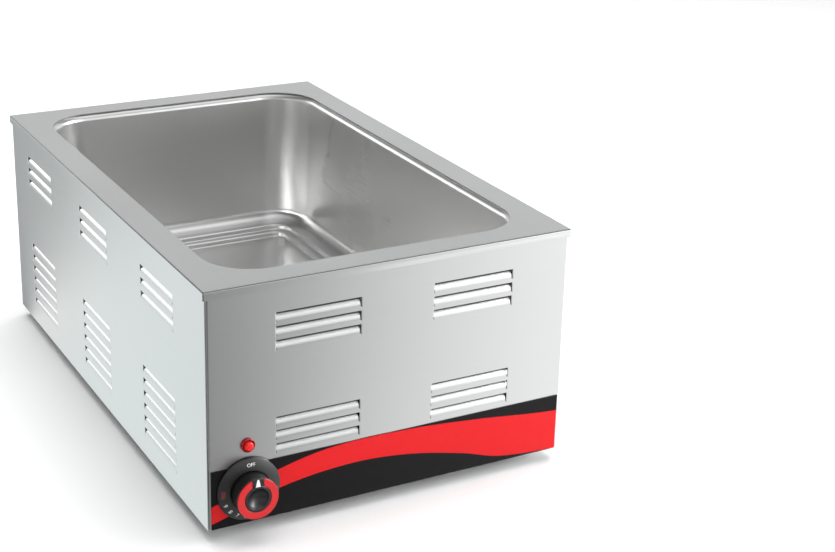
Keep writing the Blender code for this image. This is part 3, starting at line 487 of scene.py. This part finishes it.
def skin_rings(name, rings, closed, smooth=SMOOTH):
    """Rings skinned in order, as a closed loop or with flat caps. The grain follows the rings."""
    count = len(rings[0])
    points = [point for ring in rings for point in ring]
    lengths = [0.0]
    for a, b in zip(rings, rings[1:]):
        lengths.append(lengths[-1] + (Vector(a[0]) - Vector(b[0])).length)
    around = [0.0]
    for a, b in zip(rings[0], rings[0][1:]):
        around.append(around[-1] + (Vector(a) - Vector(b)).length)
    uvs = [(around[i], lengths[ring]) for ring in range(len(rings)) for i in range(count)]
    faces = []
    for ring in range(len(rings) if closed else len(rings) - 1):
        here, ahead = ring * count, (ring + 1) % len(rings) * count
        for i in range(count):
            j = (i + 1) % count
            faces.append((here + i, here + j, ahead + j, ahead + i))
    if not closed:
        faces += [tuple(range(count)), tuple(range(len(points) - count, len(points)))]
    return mesh_object(name, points, faces, uvs, smooth)


# ---------------------------------------------------------------- deck and well


def make_deck(steel, fold_painted_shade):
    """The top sheet: a frame whose outer edge is bent down, round an opening with a plain cut edge."""
    bend, lip, burr = 1.4 * MM, DECK_TOP - deck_low.z, 0.2 * MM

    def outer(edge, height):
        corner = max(bend - edge, 0.4 * MM)
        return rounded_rectangle(DECK_WIDTH - 2 * edge, DECK_DEPTH - 2 * edge, corner, height)

    def opening(grow, height):
        return rounded_rectangle(
            OPENING_WIDTH + 2 * grow, OPENING_DEPTH + 2 * grow, OPENING_CORNER + grow, height
        )

    centre = (bend, DECK_TOP - bend)
    rings = [opening(0, DECK_TOP - burr), opening(burr, DECK_TOP), opening(1.5 * MM, DECK_TOP)]
    rings.append(outer(bend + 1.0 * MM, DECK_TOP))
    rings += [outer(edge, z) for edge, z in arc(centre, bend, 90, 180, 8)]
    rings.append(outer(0, DECK_TOP - lip + 1.0 * MM))
    rings += [outer(0, DECK_TOP - lip + burr), outer(burr, DECK_TOP - lip)]
    rings += [outer(DECK_SHEET - burr, DECK_TOP - lip), outer(DECK_SHEET, DECK_TOP - lip + burr)]
    rings += [outer(edge, z) for edge, z in reversed(arc(centre, bend - DECK_SHEET, 90, 180, 4))]
    rings += [opening(burr, DECK_TOP - DECK_SHEET), opening(0, DECK_TOP - DECK_SHEET + burr)]
    deck = skin_rings("deck_sheet", rings, closed=True)
    lay_grain_along_y(deck)
    flatten_shading(deck)
    dress(deck, steel, CABINET, ["top_deck"])
    # The sloping strips, on the outer bend and on the opening's burred edge, get a much darker copy of the
    # steel: painted shade, a dark line painted on each bend in place of the dark reflection it shows.
    deck.data.materials.append(fold_painted_shade)
    for face in deck.data.polygons:
        if 0.35 < face.normal.z < 0.95 and face.center.z > DECK_TOP - bend:
            face.material_index = 1


def lay_grain_along_y(piece):
    """Brushes the whole piece from front to rear, instead of round its rings."""
    layer = piece.data.uv_layers["grain"]
    for loop in piece.data.loops:
        x, y, z = piece.data.vertices[loop.vertex_index].co
        layer.data[loop.index].uv = (y, x + z)


def well_profile():
    """The well's inner skin as (inset from the opening's edge, height), from its flange inwards."""
    inset, draft, ledge, floor = 3 * MM, 3 * MM, 85 * MM, 71.5 * MM
    top_bend, foot_bend = 7 * MM, 13 * MM
    profile = [(-10 * MM, BODY_TOP), (-5 * MM, BODY_TOP)]
    profile += arc((inset - top_bend, BODY_TOP - top_bend), top_bend, 90, 3, 10)
    wall_top, wall_foot = BODY_TOP - top_bend, ledge + foot_bend
    for share in (0.06, 0.15, 0.3, 0.5, 0.7, 0.94):
        leaning = inset + draft * (1 - (1 - share) ** 2)
        profile.append((leaning, wall_top + (wall_foot - wall_top) * share))
    profile += arc((inset + draft + foot_bend, wall_foot), foot_bend, 180, 268, 9)
    for step in (0, 1):
        edge, top = (25 + 8 * step) * MM, ledge - (1 + 6.2 * step) * MM
        profile += arc((edge, top - 3 * MM), 3 * MM, 90, 25, 6)
        profile += arc((edge + 4.4 * MM, top - 4.0 * MM), 1.8 * MM, 205, 265, 5)
    profile += [(44 * MM, floor + 0.2 * MM), (60 * MM, floor + 0.05 * MM)]
    return [*profile, (100 * MM, floor)]


def offset_profile(profile, distance):
    """The profile moved sideways by the distance, for the sheet's other skin."""
    moved = []
    for i, (x, z) in enumerate(profile):
        before, after = profile[max(i - 1, 0)], profile[min(i + 1, len(profile) - 1)]
        dx, dz = after[0] - before[0], after[1] - before[1]
        length = math.hypot(dx, dz)
        moved.append((x + dz / length * distance, z - dx / length * distance))
    return moved


def make_well(steel):
    inner = well_profile()
    outer = offset_profile(inner, SHEET)
    rings = []
    for inset, height in [*reversed(inner), *outer]:
        corner = max(OPENING_CORNER - inset, 11 * MM)
        rings.append(
            rounded_rectangle(OPENING_WIDTH - 2 * inset, OPENING_DEPTH - 2 * inset, corner, height)
        )
    well = skin_rings("well_pan", rings, closed=False, smooth=40)
    flatten_shading(well)
    dress(well, steel, CABINET, ["water_well"])


# ---------------------------------------------------------------- louvred housing

LOUVRE_LENGTH = 82 * MM
LOUVRE_SLOT = 9.2 * MM
LOUVRE_PITCH = 13 * MM
LOUVRE_RADIUS = 10 * MM
LOUVRE_STEPS = 9
LOUVRE_TOP_GAP = 0.1 * MM
LOUVRE_GAPS = (0.12 * MM, 0.9 * MM)  # beside a slat's two ends, nearest the seam's corner first
EDGE_ROLL = 0.55 * MM  # how deep a slot's sheared ends are dragged inwards
ROLL_REACH = 1.25 * MM  # how far beside the slot the sheet is dragged
ROLL_BELOW = 1.2 * MM  # where the drag starts below a slot
ROLL_RISE = 1.6 * MM  # and the height in which it becomes full
ROLL_ABOVE = 0.5 * MM  # where it ends above a slot
ROLL_FALL = 0.6 * MM  # and the height in which it dies away
FOOT_BEND = 0.7 * MM  # radius of the sheet's lowest edge
UPPER_HINGE = BODY_BOTTOM + 161.3 * MM
FRONT_LOWER_HINGE = BODY_BOTTOM + 62 * MM
SIDE_LOWER_HINGE = BODY_BOTTOM + 21 * MM


class Housing:
    """One folded sheet on a grid of upright lines and levels, with louvres cut and bent out of it.

    A line is (distance round, x, y, normal x, normal y). A slot is (first line, last line, hinge, top), and
    its slat hangs between the second line and the last but one.
    """

    def __init__(self, lines, slots, flanges):
        self.lines = lines
        self.slots = slots
        self.flanges = flanges
        self.points = []
        self.uvs = []
        self.index = {}
        self.faces = []
        self.levels = self.find_levels()

    def find_levels(self):
        levels = {BODY_BOTTOM, BODY_BOTTOM + SHEET, BODY_TOP}
        levels |= {BODY_BOTTOM + step * MM for step in (0.15, 0.4)}
        for _, _, hinge, top in self.slots:
            levels |= {hinge + step * MM for step in (-1.2, -0.5, 0, 0.8, 3)}
            levels |= {top + step * MM for step in (-1, 0, 0.5, 1.2)}
        ordered = sorted(levels)
        kept = [ordered[0]]
        for level in ordered[1:]:
            if level - kept[-1] > 0.02 * MM:
                kept.append(level)
        return kept

    def roll(self, line, z):
        """How far the outer skin is dragged inwards there, beside a slot's sheared end."""
        here = self.lines[line][0]
        depth = 0.0
        for first, last, hinge, top in self.slots:
            if not hinge - ROLL_BELOW < z < top + ROLL_ABOVE:
                continue
            away = min(abs(here - self.lines[first][0]), abs(here - self.lines[last][0]))
            if first < line < last or away > ROLL_REACH:
                continue
            rise = min(1, max(0, (z - hinge + ROLL_BELOW) / ROLL_RISE))
            fall = 1 - 0.75 * min(1, max(0, (z - hinge) / (top - hinge)))
            end = min(1, max(0, (top + ROLL_ABOVE - z) / ROLL_FALL))
            depth = max(depth, EDGE_ROLL * rise * fall * end * (1 - away / ROLL_REACH) ** 2)
        if z < BODY_BOTTOM + FOOT_BEND:
            up = BODY_BOTTOM + FOOT_BEND - z
            depth = max(depth, FOOT_BEND - math.sqrt(max(FOOT_BEND**2 - up**2, 0)))
        return min(depth, SHEET * 0.85)

    def point(self, line, inwards, z, across=None):
        """A vertex at a depth behind the outer skin; across is its V when it isn't its height."""
        key = (line, round(inwards, 7), round(z, 7))
        if key not in self.index:
            around, x, y, nx, ny = self.lines[line]
            depth = self.roll(line, z) if inwards == 0 else inwards
            self.index[key] = len(self.points)
            self.points.append((x - nx * depth, y - ny * depth, z))
            self.uvs.append((around, z if across is None else across))
        return self.index[key]

    def present(self, line, level):
        """Whether the sheet fills the cell between this line and level and the next ones."""
        if not (0 <= line < len(self.lines) - 1 and 0 <= level < len(self.levels) - 1):
            return False
        middle = (self.levels[level] + self.levels[level + 1]) / 2
        return not any(
            first <= line < last and hinge < middle < top for first, last, hinge, top in self.slots
        )

    def flanged(self, line):
        return any(first <= line < last for first, last in self.flanges)

    def quad(self, a, b, c, d):
        self.faces.append((a, b, c, d))

    def edge(self, line, z):
        return self.point(line, 0, z), self.point(line, SHEET, z)

    def hinged(self, line, z):
        """Whether a slat starts at the sheet's edge there, which then needs no face of its own."""
        return any(first < line < last - 1 and abs(z - hinge) < SAME for first, last, hinge, _ in self.slots)

    def wall(self):
        for line in range(len(self.lines) - 1):
            for level in range(len(self.levels) - 1):
                if not self.present(line, level):
                    continue
                low, high = self.levels[level], self.levels[level + 1]
                for inwards in (0, SHEET):
                    if inwards and self.flanged(line) and low < BODY_BOTTOM + SHEET - SAME:
                        continue
                    self.quad(
                        self.point(line, inwards, low),
                        self.point(line + 1, inwards, low),
                        self.point(line + 1, inwards, high),
                        self.point(line, inwards, high),
                    )
                for side, at in ((-1, line), (1, line + 1)):
                    if not self.present(line + side, level):
                        self.quad(*self.edge(at, low), *reversed(self.edge(at, high)))
                for side, z in ((-1, low), (1, high)):
                    open_side = not self.present(line, level + side)
                    if open_side and not (side == 1 and self.hinged(line, z)):
                        self.quad(*self.edge(line, z), *reversed(self.edge(line + 1, z)))

    def slat_rows(self, line, hinge):
        """The curved slat's (outer, inner) vertices from its hinge to its tip."""
        whole_turn = (LOUVRE_SLOT - LOUVRE_TOP_GAP) / (LOUVRE_RADIUS - SHEET / 2)
        radii = (LOUVRE_RADIUS, LOUVRE_RADIUS - SHEET)
        rows = [self.edge(line, hinge)]
        for step in range(1, LOUVRE_STEPS + 1):
            turn = whole_turn * step / LOUVRE_STEPS
            row = [(LOUVRE_RADIUS - radius * math.cos(turn), radius * math.sin(turn)) for radius in radii]
            rows.append(self.slat_point(line, hinge, row, LOUVRE_RADIUS * turn))
        return rows

    def slat_point(self, line, hinge, row, across):
        return tuple(self.point(line, x, hinge + z, hinge + across) for x, z in row)

    def slat(self, first, last, hinge):
        columns = [self.slat_rows(line, hinge) for line in range(first + 1, last)]
        for left, right in zip(columns, columns[1:]):
            for a, b, c, d in zip(left, left[1:], right[1:], right):
                for side in (0, 1):
                    self.quad(a[side], b[side], c[side], d[side])
            self.quad(*left[-1], *reversed(right[-1]))
        for column in (columns[0], columns[-1]):
            for a, b in zip(column, column[1:]):
                self.quad(*a, *reversed(b))

    def flange(self, first, last):
        """The sheet's foot, folded inwards between two lines."""
        reach, top = 14 * MM, BODY_BOTTOM + SHEET
        corners = ((SHEET, top), (reach, top), (reach, BODY_BOTTOM), (SHEET, BODY_BOTTOM))
        rows = [[self.point(line, x, z) for x, z in corners] for line in range(first, last + 1)]
        for here, ahead in zip(rows, rows[1:]):
            for i in range(3):
                self.quad(here[i], here[i + 1], ahead[i + 1], ahead[i])
        for line, row in ((first, rows[0]), (last, rows[-1])):
            steps = [z for z in self.levels if BODY_BOTTOM < z < top - SAME]
            self.faces.append([*row, *[self.point(line, SHEET, z) for z in steps]])

    def build(self, name):
        self.wall()
        for first, last, hinge, _ in self.slots:
            self.slat(first, last, hinge)
        for first, last in self.flanges:
            self.flange(first, last)
        return mesh_object(name, self.points, self.faces, self.uvs, smooth=SMOOTH)


def straight(start, end, columns, gaps):
    """Distances along a flat face, and for each column the places of its first and last line among them."""
    roll = (-ROLL_REACH, -0.7 * MM, -0.3 * MM, 0)
    marks = [start, start + 5 * MM, start + 16 * MM]
    spans = []
    for column in columns:
        low, high = column - LOUVRE_LENGTH / 2, column + LOUVRE_LENGTH / 2
        marks.append((marks[-1] + low) / 2)
        marks += [low + step for step in roll]
        first = len(marks) - 1
        marks += [low + gaps[0], (low + high) / 2, high - gaps[1]]
        marks += [high - step for step in reversed(roll)]
        spans.append((first, first + 4))
    return [*marks, end - 16 * MM, end - 5 * MM, end], spans


def bend_lines(centre, radius, start, steps=8):
    """A quarter bend's upright lines, as (x, y, normal x, normal y)."""
    facing = arc((0, 0), 1, start, start + 90, steps)
    return [(centre[0] + radius * nx, centre[1] + radius * ny, nx, ny) for nx, ny in facing]


def folded_housing(name, face_columns, side_columns, turn, gaps):
    """A return in the seam, a flat facing -Y, a bend and a flat facing +X, all turned about the centre."""
    half_x, half_y = (body_high.x - deck_low.x - 2 * MM) / 2, DECK_DEPTH / 2 - 2 * MM
    seam_bend, corner_bend = 2.0 * MM, 2.5 * MM
    fold_x = SHEET + 0.6 * MM - half_x
    seam = bend_lines((fold_x + seam_bend, seam_bend - half_y), seam_bend, 180)
    corner = bend_lines((half_x - corner_bend, corner_bend - half_y), corner_bend, 270)
    face_marks, face_spans = straight(seam[-1][0], corner[0][0], face_columns, gaps)
    side_marks, side_spans = straight(corner[-1][1], half_y, side_columns, gaps)

    spots = [(fold_x, 12 * MM - half_y, -1, 0), *seam]
    face_start = len(spots) - 1
    spots += [(x, -half_y, 0, -1) for x in face_marks[1:-1]]
    face_end = len(spots)
    spots += corner
    side_start = len(spots) - 1
    spots += [(half_x, y, 1, 0) for y in side_marks[1:]]

    lines, around = [], 0.0
    for i, (x, y, nx, ny) in enumerate(spots):
        if i:
            around += math.hypot(x - spots[i - 1][0], y - spots[i - 1][1])
        place = Vector((x, y, 0))
        normal = Vector((nx, ny, 0))
        place.rotate(Quaternion((0, 0, 1), turn))
        normal.rotate(Quaternion((0, 0, 1), turn))
        lines.append((around, CENTRE.x + place.x, CENTRE.y + place.y, normal.x, normal.y))

    upper = [UPPER_HINGE + LOUVRE_PITCH * i for i in range(3)]
    slots = []
    for start, spans, lowest, count in (
        (face_start, face_spans, FRONT_LOWER_HINGE, 3),
        (side_start, side_spans, SIDE_LOWER_HINGE, 6),
    ):
        hinges = [lowest + LOUVRE_PITCH * i for i in range(count)] + upper
        for first, last in spans:
            slots += [(start + first, start + last, hinge, hinge + LOUVRE_SLOT) for hinge in hinges]
    flanges = [(face_start + 2, face_end - 2), (side_start + 2, len(lines) - 3)]
    return Housing(lines, slots, flanges).build(name)


def make_housing(steel):
    front_columns, side_columns = (-75 * MM, 81 * MM), (-168 * MM, 9 * MM, 186 * MM)
    front = folded_housing("housing_sheet_front", front_columns, side_columns, 0, LOUVRE_GAPS)
    holes = [(KNOB_X, FRONT_Y, KNOB_Z, 5.6 * MM), (KNOB_X, FRONT_Y, PILOT_Z, 5.0 * MM)]
    holes += [(KNOB_X + side * SCREW_OFFSET, FRONT_Y, KNOB_Z, 2.1 * MM) for side in (-1, 1)]
    bore(front, holes)
    flatten_shading(front)
    dress(front, steel, CABINET, ["housing_front_right"])
    rear_columns, side_columns = (-78 * MM, 78 * MM), (-186 * MM, -9 * MM, 168 * MM)
    rear = folded_housing("housing_sheet_rear", rear_columns, side_columns, math.pi, LOUVRE_GAPS[::-1])
    lead_low, lead_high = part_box("lead_bushing")
    bore(rear, [((lead_low.x + lead_high.x) / 2, rear_high.y, (lead_low.z + lead_high.z) / 2, 8.2 * MM)])
    flatten_shading(rear)
    dress(rear, steel, CABINET, ["housing_rear_left"])


# ---------------------------------------------------------------- controls


def make_bezel(black, white, red):
    cone_fall, cone_tilt = 0.319, 17.7  # the slope of its face, as a ratio and in degrees
    first_mark, mark_step = 98, 18.4  # degrees clockwise from the top
    profile = [(29.6, 0.7), (30, 1.1), (30, 2.0), (29.7, 2.6), (29.0, 3.0)]
    profile += [(19.9, 5.9), (19.3, 5.9), (18.9, 5.4), (18.8, 3.6)]
    profile += [(6.2, 3.6), (6.0, 3.3), (6.0, 2.7), (19.8, 2.7)]
    profile += [(20.4, 4.5), (28.6, 2.0), (28.6, 0.7)]
    bezel = turned("bezel", [(r * MM, z * MM) for r, z in profile], steps=128)
    dress(bezel, black, CABINET, ["dial_bezel"], CONTROL_FACE)

    def on_cone(radius):
        return (3.0 + (29.0 - radius / MM) * cone_fall) * MM

    def mark(name, text, turn, radius, size, upright, ink):
        """Printed text on the bezel's slope, turned clockwise from the top."""
        curve = bpy.data.curves.new(name, "FONT")
        curve.body = text
        curve.size = size
        curve.align_x = "CENTER"
        curve.align_y = "CENTER"
        curve.extrude = 0.04 * MM
        label = bpy.data.objects.new(name, curve)
        bpy.context.scene.collection.objects.link(label)
        spin = Matrix.Rotation(-turn, 4, "Z")
        place = Matrix.Translation((0, radius, on_cone(radius) + 0.06 * MM))
        slope = Matrix.Rotation(math.radians(-cone_tilt), 4, "X")
        flip = Matrix.Identity(4) if upright else Matrix.Rotation(math.pi, 4, "Z")
        dress(label, ink, CABINET, matrix=CONTROL_FACE @ spin @ place @ slope @ flip)

    mark("mark_off", "OFF", math.radians(3), 24.2 * MM, 4.6 * MM, True, white)
    for number in range(1, 10):
        turn = math.radians(first_mark + mark_step * (number - 1))
        mark(f"mark_{number}", str(number), turn, 25.6 * MM, 5.4 * MM, False, white)

    start, end = 262, 279
    outer = arc((0, 0), 27 * MM, 90 - start, 90 - end, 10)
    inner = arc((0, 0), 23.4 * MM, 90 - end, 90 - start, 10)
    count = len(outer)
    lifts = (0.02 * MM, 0.1 * MM)
    flat = [(x, y, on_cone(math.hypot(x, y)) + lift) for lift in lifts for x, y in outer + inner]
    faces = []
    for i in range(count - 1):
        a, b, c, d = i, i + 1, 2 * count - 2 - i, 2 * count - 1 - i
        faces += [(a, b, c, d), (2 * count + d, 2 * count + c, 2 * count + b, 2 * count + a)]
        faces += [(b, a, 2 * count + a, 2 * count + b), (d, c, 2 * count + c, 2 * count + d)]
    faces += [(0, 2 * count - 1, 4 * count - 1, 2 * count)]
    faces += [(count, count - 1, 3 * count - 1, 3 * count)]
    hot = mesh_object("mark_hot", flat, faces)
    dress(hot, red, CABINET, matrix=CONTROL_FACE)


def make_knob(black, red, white):
    radius, seat, face, inner = 20 * MM, 21.4 * MM, 22.8 * MM, 12.6 * MM
    profile = [(0, 14.5 * MM), (3.4 * MM, 14.5 * MM), (3.4 * MM, 4.8 * MM), (6.5 * MM, 4.8 * MM)]
    profile += [(6.5 * MM, 13.5 * MM), (16.8 * MM, 13.5 * MM), (16.2 * MM, 4.6 * MM), (16.5 * MM, 4.3 * MM)]
    profile += [(17.5 * MM, 4.3 * MM), (17.8 * MM, 4.7 * MM), (18.1 * MM, 8 * MM), (18.6 * MM, 13 * MM)]
    profile += [(19.3 * MM, 18 * MM), (radius - 0.3 * MM, 20.2 * MM), (radius - 0.2 * MM, 20.9 * MM)]
    profile += [(radius - 0.5 * MM, seat), (inner, seat), (inner - 0.1 * MM, face - 0.4 * MM)]
    bowl = 9.9 * MM
    profile += [(inner - 0.5 * MM, face), (bowl + 0.35 * MM, face), (bowl, face - 0.3 * MM)]
    for step in range(10):
        share = step / 10
        profile.append((bowl * (0.97 - 0.97 * share), face - 1.2 * MM - 5.0 * MM * (1 - (1 - share) ** 2)))
    profile.append((0, face - 6.2 * MM))
    knob = turned("knob_body", profile, steps=128)
    dress(knob, black, KNOB, ["knob"], CONTROL_FACE)

    half, rim = 5.2 * MM, radius - 0.5 * MM
    top = math.sqrt(rim**2 - half**2)
    turn = math.degrees(math.asin(half / rim))
    outline = [(-half, 12.4 * MM), (half, 12.4 * MM), (half, top)]
    outline += arc((0, 0), rim, 90 - turn, 90 + turn, 8)[1:-1]
    outline.append((-half, top))
    block = prism("knob_pointer_block", outline, seat - 0.5 * MM, face - 0.1 * MM)
    round_edges(block, 0.3 * MM)
    dress(block, black, KNOB, matrix=CONTROL_FACE)

    wedge = [(-2.4 * MM, 11.9 * MM), (2.4 * MM, 11.9 * MM), (0.75 * MM, 19.0 * MM), (-0.75 * MM, 19.0 * MM)]
    pointer = prism("pointer", wedge, face - 0.5 * MM, face)
    round_edges(pointer, 0.12 * MM)
    dress(pointer, white, KNOB, ["knob_pointer"], CONTROL_FACE)

    gap_out = math.degrees(math.asin(5.5 * MM / (radius - 0.6 * MM)))
    gap_in = math.degrees(math.asin(5.5 * MM / inner))
    outline = arc((0, 0), radius - 0.6 * MM, 90 - gap_out, gap_out - 270, 90)
    outline += arc((0, 0), inner + 0.1 * MM, gap_in - 270, 90 - gap_in, 90)
    ring = prism("ring_insert", outline, seat + 0.1 * MM, face)
    round_edges(ring, 0.5 * MM, 4)
    dress(ring, red, KNOB, ["knob_ring"], CONTROL_FACE)


def make_pilot(rim, centre):
    face = Matrix.Translation((KNOB_X, FRONT_Y, PILOT_Z)) @ FACING_FRONT
    profile = [(0, -10), (4.5, -10), (4.5, 0.3), (6.4, 0.3), (6.6, 0.6), (6.6, 1.4), (6.4, 2.0), (6.0, 2.35)]
    profile += [(5.6, 2.3), (5.2, 1.7), (4.9, 0.9), (4.5, 0.8), (0, 0.8)]
    flange = turned("pilot_flange", [(r * MM, z * MM) for r, z in profile], steps=64)
    dress(flange, rim, CABINET, ["pilot_lens"], face)
    profile = [(0, 0.9), (4.3, 0.9), (4.4, 1.4), (4.3, 3.6), (4.0, 4.4), (3.4, 4.9), (2.4, 5.2), (0, 5.3)]
    jewel = turned("pilot_jewel", [(r * MM, z * MM) for r, z in profile], steps=48)
    dress(jewel, centre, CABINET, matrix=face)


def curve_height(points, x):
    """The height at x of a smooth curve through (x, z) points; the first and last only steer its ends."""
    for (x0, z0), (x1, z1), (x2, z2), (x3, z3) in zip(points, points[1:], points[2:], points[3:]):
        if x <= x2 or (x3, z3) == points[-1]:
            t = min(1, max(0, (x - x1) / (x2 - x1)))
            slope_1 = (z2 - z0) / (x2 - x0) * (x2 - x1)
            slope_2 = (z3 - z1) / (x3 - x1) * (x2 - x1)
            start = (2 * t**3 - 3 * t**2 + 1) * z1 + (t**3 - 2 * t**2 + t) * slope_1
            end = (-2 * t**3 + 3 * t**2) * z2 + (t**3 - t**2) * slope_2
            return start + end
    return points[-1][1]


def wave_band(name, upper, lower, thickness):
    """A flat band between two smooth edges, each a few (x, z) points from left to right."""
    steps = 120
    start, end = upper[1][0], upper[-2][0]
    rows = []
    for step in range(steps + 1):
        x = start + (end - start) * step / steps
        rows.append((x, curve_height(upper, x), curve_height(lower, x)))
    points = [(x, z, y) for x, top, bottom in rows for z in (bottom, top) for y in (0, thickness)]
    faces = []
    for i in range(steps):
        a, b = 4 * i, 4 * i + 4
        faces += [(a, b, b + 2, a + 2), (a + 1, a + 3, b + 3, b + 1)]
        faces += [(a, a + 1, b + 1, b), (a + 2, b + 2, b + 3, a + 3)]
    last = 4 * steps
    faces += [(0, 2, 3, 1), (last, last + 1, last + 3, last + 2)]
    return mesh_object(name, points, faces)


def make_label(red_ink):
    """The red wave along the black strip. x runs from the deck's left edge, z from the body's bottom."""
    low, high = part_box("front_decal")
    top, bottom = high.z - BODY_BOTTOM, low.z - BODY_BOTTOM
    left, right = low.x - deck_low.x, high.x - deck_low.x
    upper = [(-60, 12), (left / MM, 23), (60, 43), (120, 55.5), (200, 56.4)]
    upper += [(280, 50), (330, 44), (right / MM, 41), (420, 40)]
    lower = [(-60, 0), (left / MM, 6), (70, 27), (140, 35), (200, 31)]
    lower += [(260, 18), (300, 6), (right / MM, 0.4), (420, -4)]
    upper = [(x * MM, min(z * MM, top)) for x, z in upper]
    lower = [(x * MM, max(z * MM, bottom)) for x, z in lower]
    band = wave_band("label_wave", upper, lower, 0.06 * MM)
    band.matrix_world = Matrix.Translation((deck_low.x, low.y, BODY_BOTTOM)) @ FACING_FRONT
    bore(band, [(KNOB_X, low.y, KNOB_Z, 25 * MM)])
    dress(band, red_ink, CABINET)


# ---------------------------------------------------------------- everything together


def main():
    make_camera()
    sheet = brushed_steel("steel_brushed", (0.68, 0.69, 0.685), 0.30, 0.004, waviness=0.3)
    # Painted shade: a much darker copy of the brushed steel, for the dark lines painted on the deck's bends.
    painted_fold_shade = brushed_steel("steel_fold_painted_shade", (0.20, 0.20, 0.20), 0.34, 0.004, waviness=0.3)
    drawn = brushed_steel("steel_drawn", (0.765, 0.765, 0.76), 0.28, 0.0003, 0.003, 0.3, 0.25)
    plain = plated_metal("steel_plain", (0.50, 0.51, 0.52), 0.42)
    zinc = plated_metal("zinc_plate", (0.66, 0.66, 0.64), 0.33)
    copper = plated_metal("bare_copper", (0.72, 0.42, 0.28), 0.35)
    black = moulded_plastic("plastic_black", (0.006, 0.006, 0.007), 0.36, Specular_IOR_Level=0.9)
    cream = moulded_plastic("plastic_cream", (0.75, 0.70, 0.58), 0.5)
    red = moulded_plastic("plastic_red", (0.62, 0.012, 0.016), 0.3)
    white = moulded_plastic("plastic_white", (0.86, 0.86, 0.84), 0.4)
    film = moulded_plastic("film_black", (0.006, 0.0055, 0.006), 0.22, 0.004, Specular_IOR_Level=0.15)
    red_ink = moulded_plastic("film_red", (0.68, 0.010, 0.013), 0.25, 0.004, Specular_IOR_Level=0.15)
    dull_red = moulded_plastic("ink_red", (0.16, 0.012, 0.02), 0.4)
    rubber = moulded_plastic("rubber_black", (0.025, 0.025, 0.026), 0.75, grain=0.06)
    sleeve = moulded_plastic("sleeve_black", (0.03, 0.03, 0.032), 0.45)
    green = moulded_plastic("sleeve_green", (0.08, 0.35, 0.10), 0.45)
    wool = fibre("fibre_pad", (0.72, 0.68, 0.55))
    rim = moulded_plastic("lens_rim", (0.34, 0.004, 0.012), 0.16, 0.002)
    glow = moulded_plastic("lens_red", (0.75, 0.015, 0.012), 0.2, 0.002)

    make_deck(sheet, painted_fold_shade)
    make_well(drawn)
    make_housing(sheet)
    make_bezel(black, white, dull_red)
    make_knob(black, red, white)
    make_pilot(rim, glow)
    make_label(red_ink)

    looks = {
        "plain_steel": plain,
        "zinc": zinc,
        "copper": copper,
        "black_plastic": black,
        "cream_plastic": cream,
        "green_insulation": green,
        "black_insulation": sleeve,
        "cord_rubber": sleeve,
        "printed_film": film,
        "rubber": rubber,
        "mineral_wool": wool,
        "brushed_steel": sheet,
        "drawn_steel": drawn,
        "red_insert": red,
        "white_insert": white,
        "red_lens": glow,
    }
    slots = {row["node"]: row["material_slot"] for row in frame["record"]["subparts"]}
    for name, node in frame["nodes"].items():
        node.data.materials.clear()
        node.data.materials.append(looks[slots[name]])
    make_studio()


main()
bpy.context.view_layer.update()
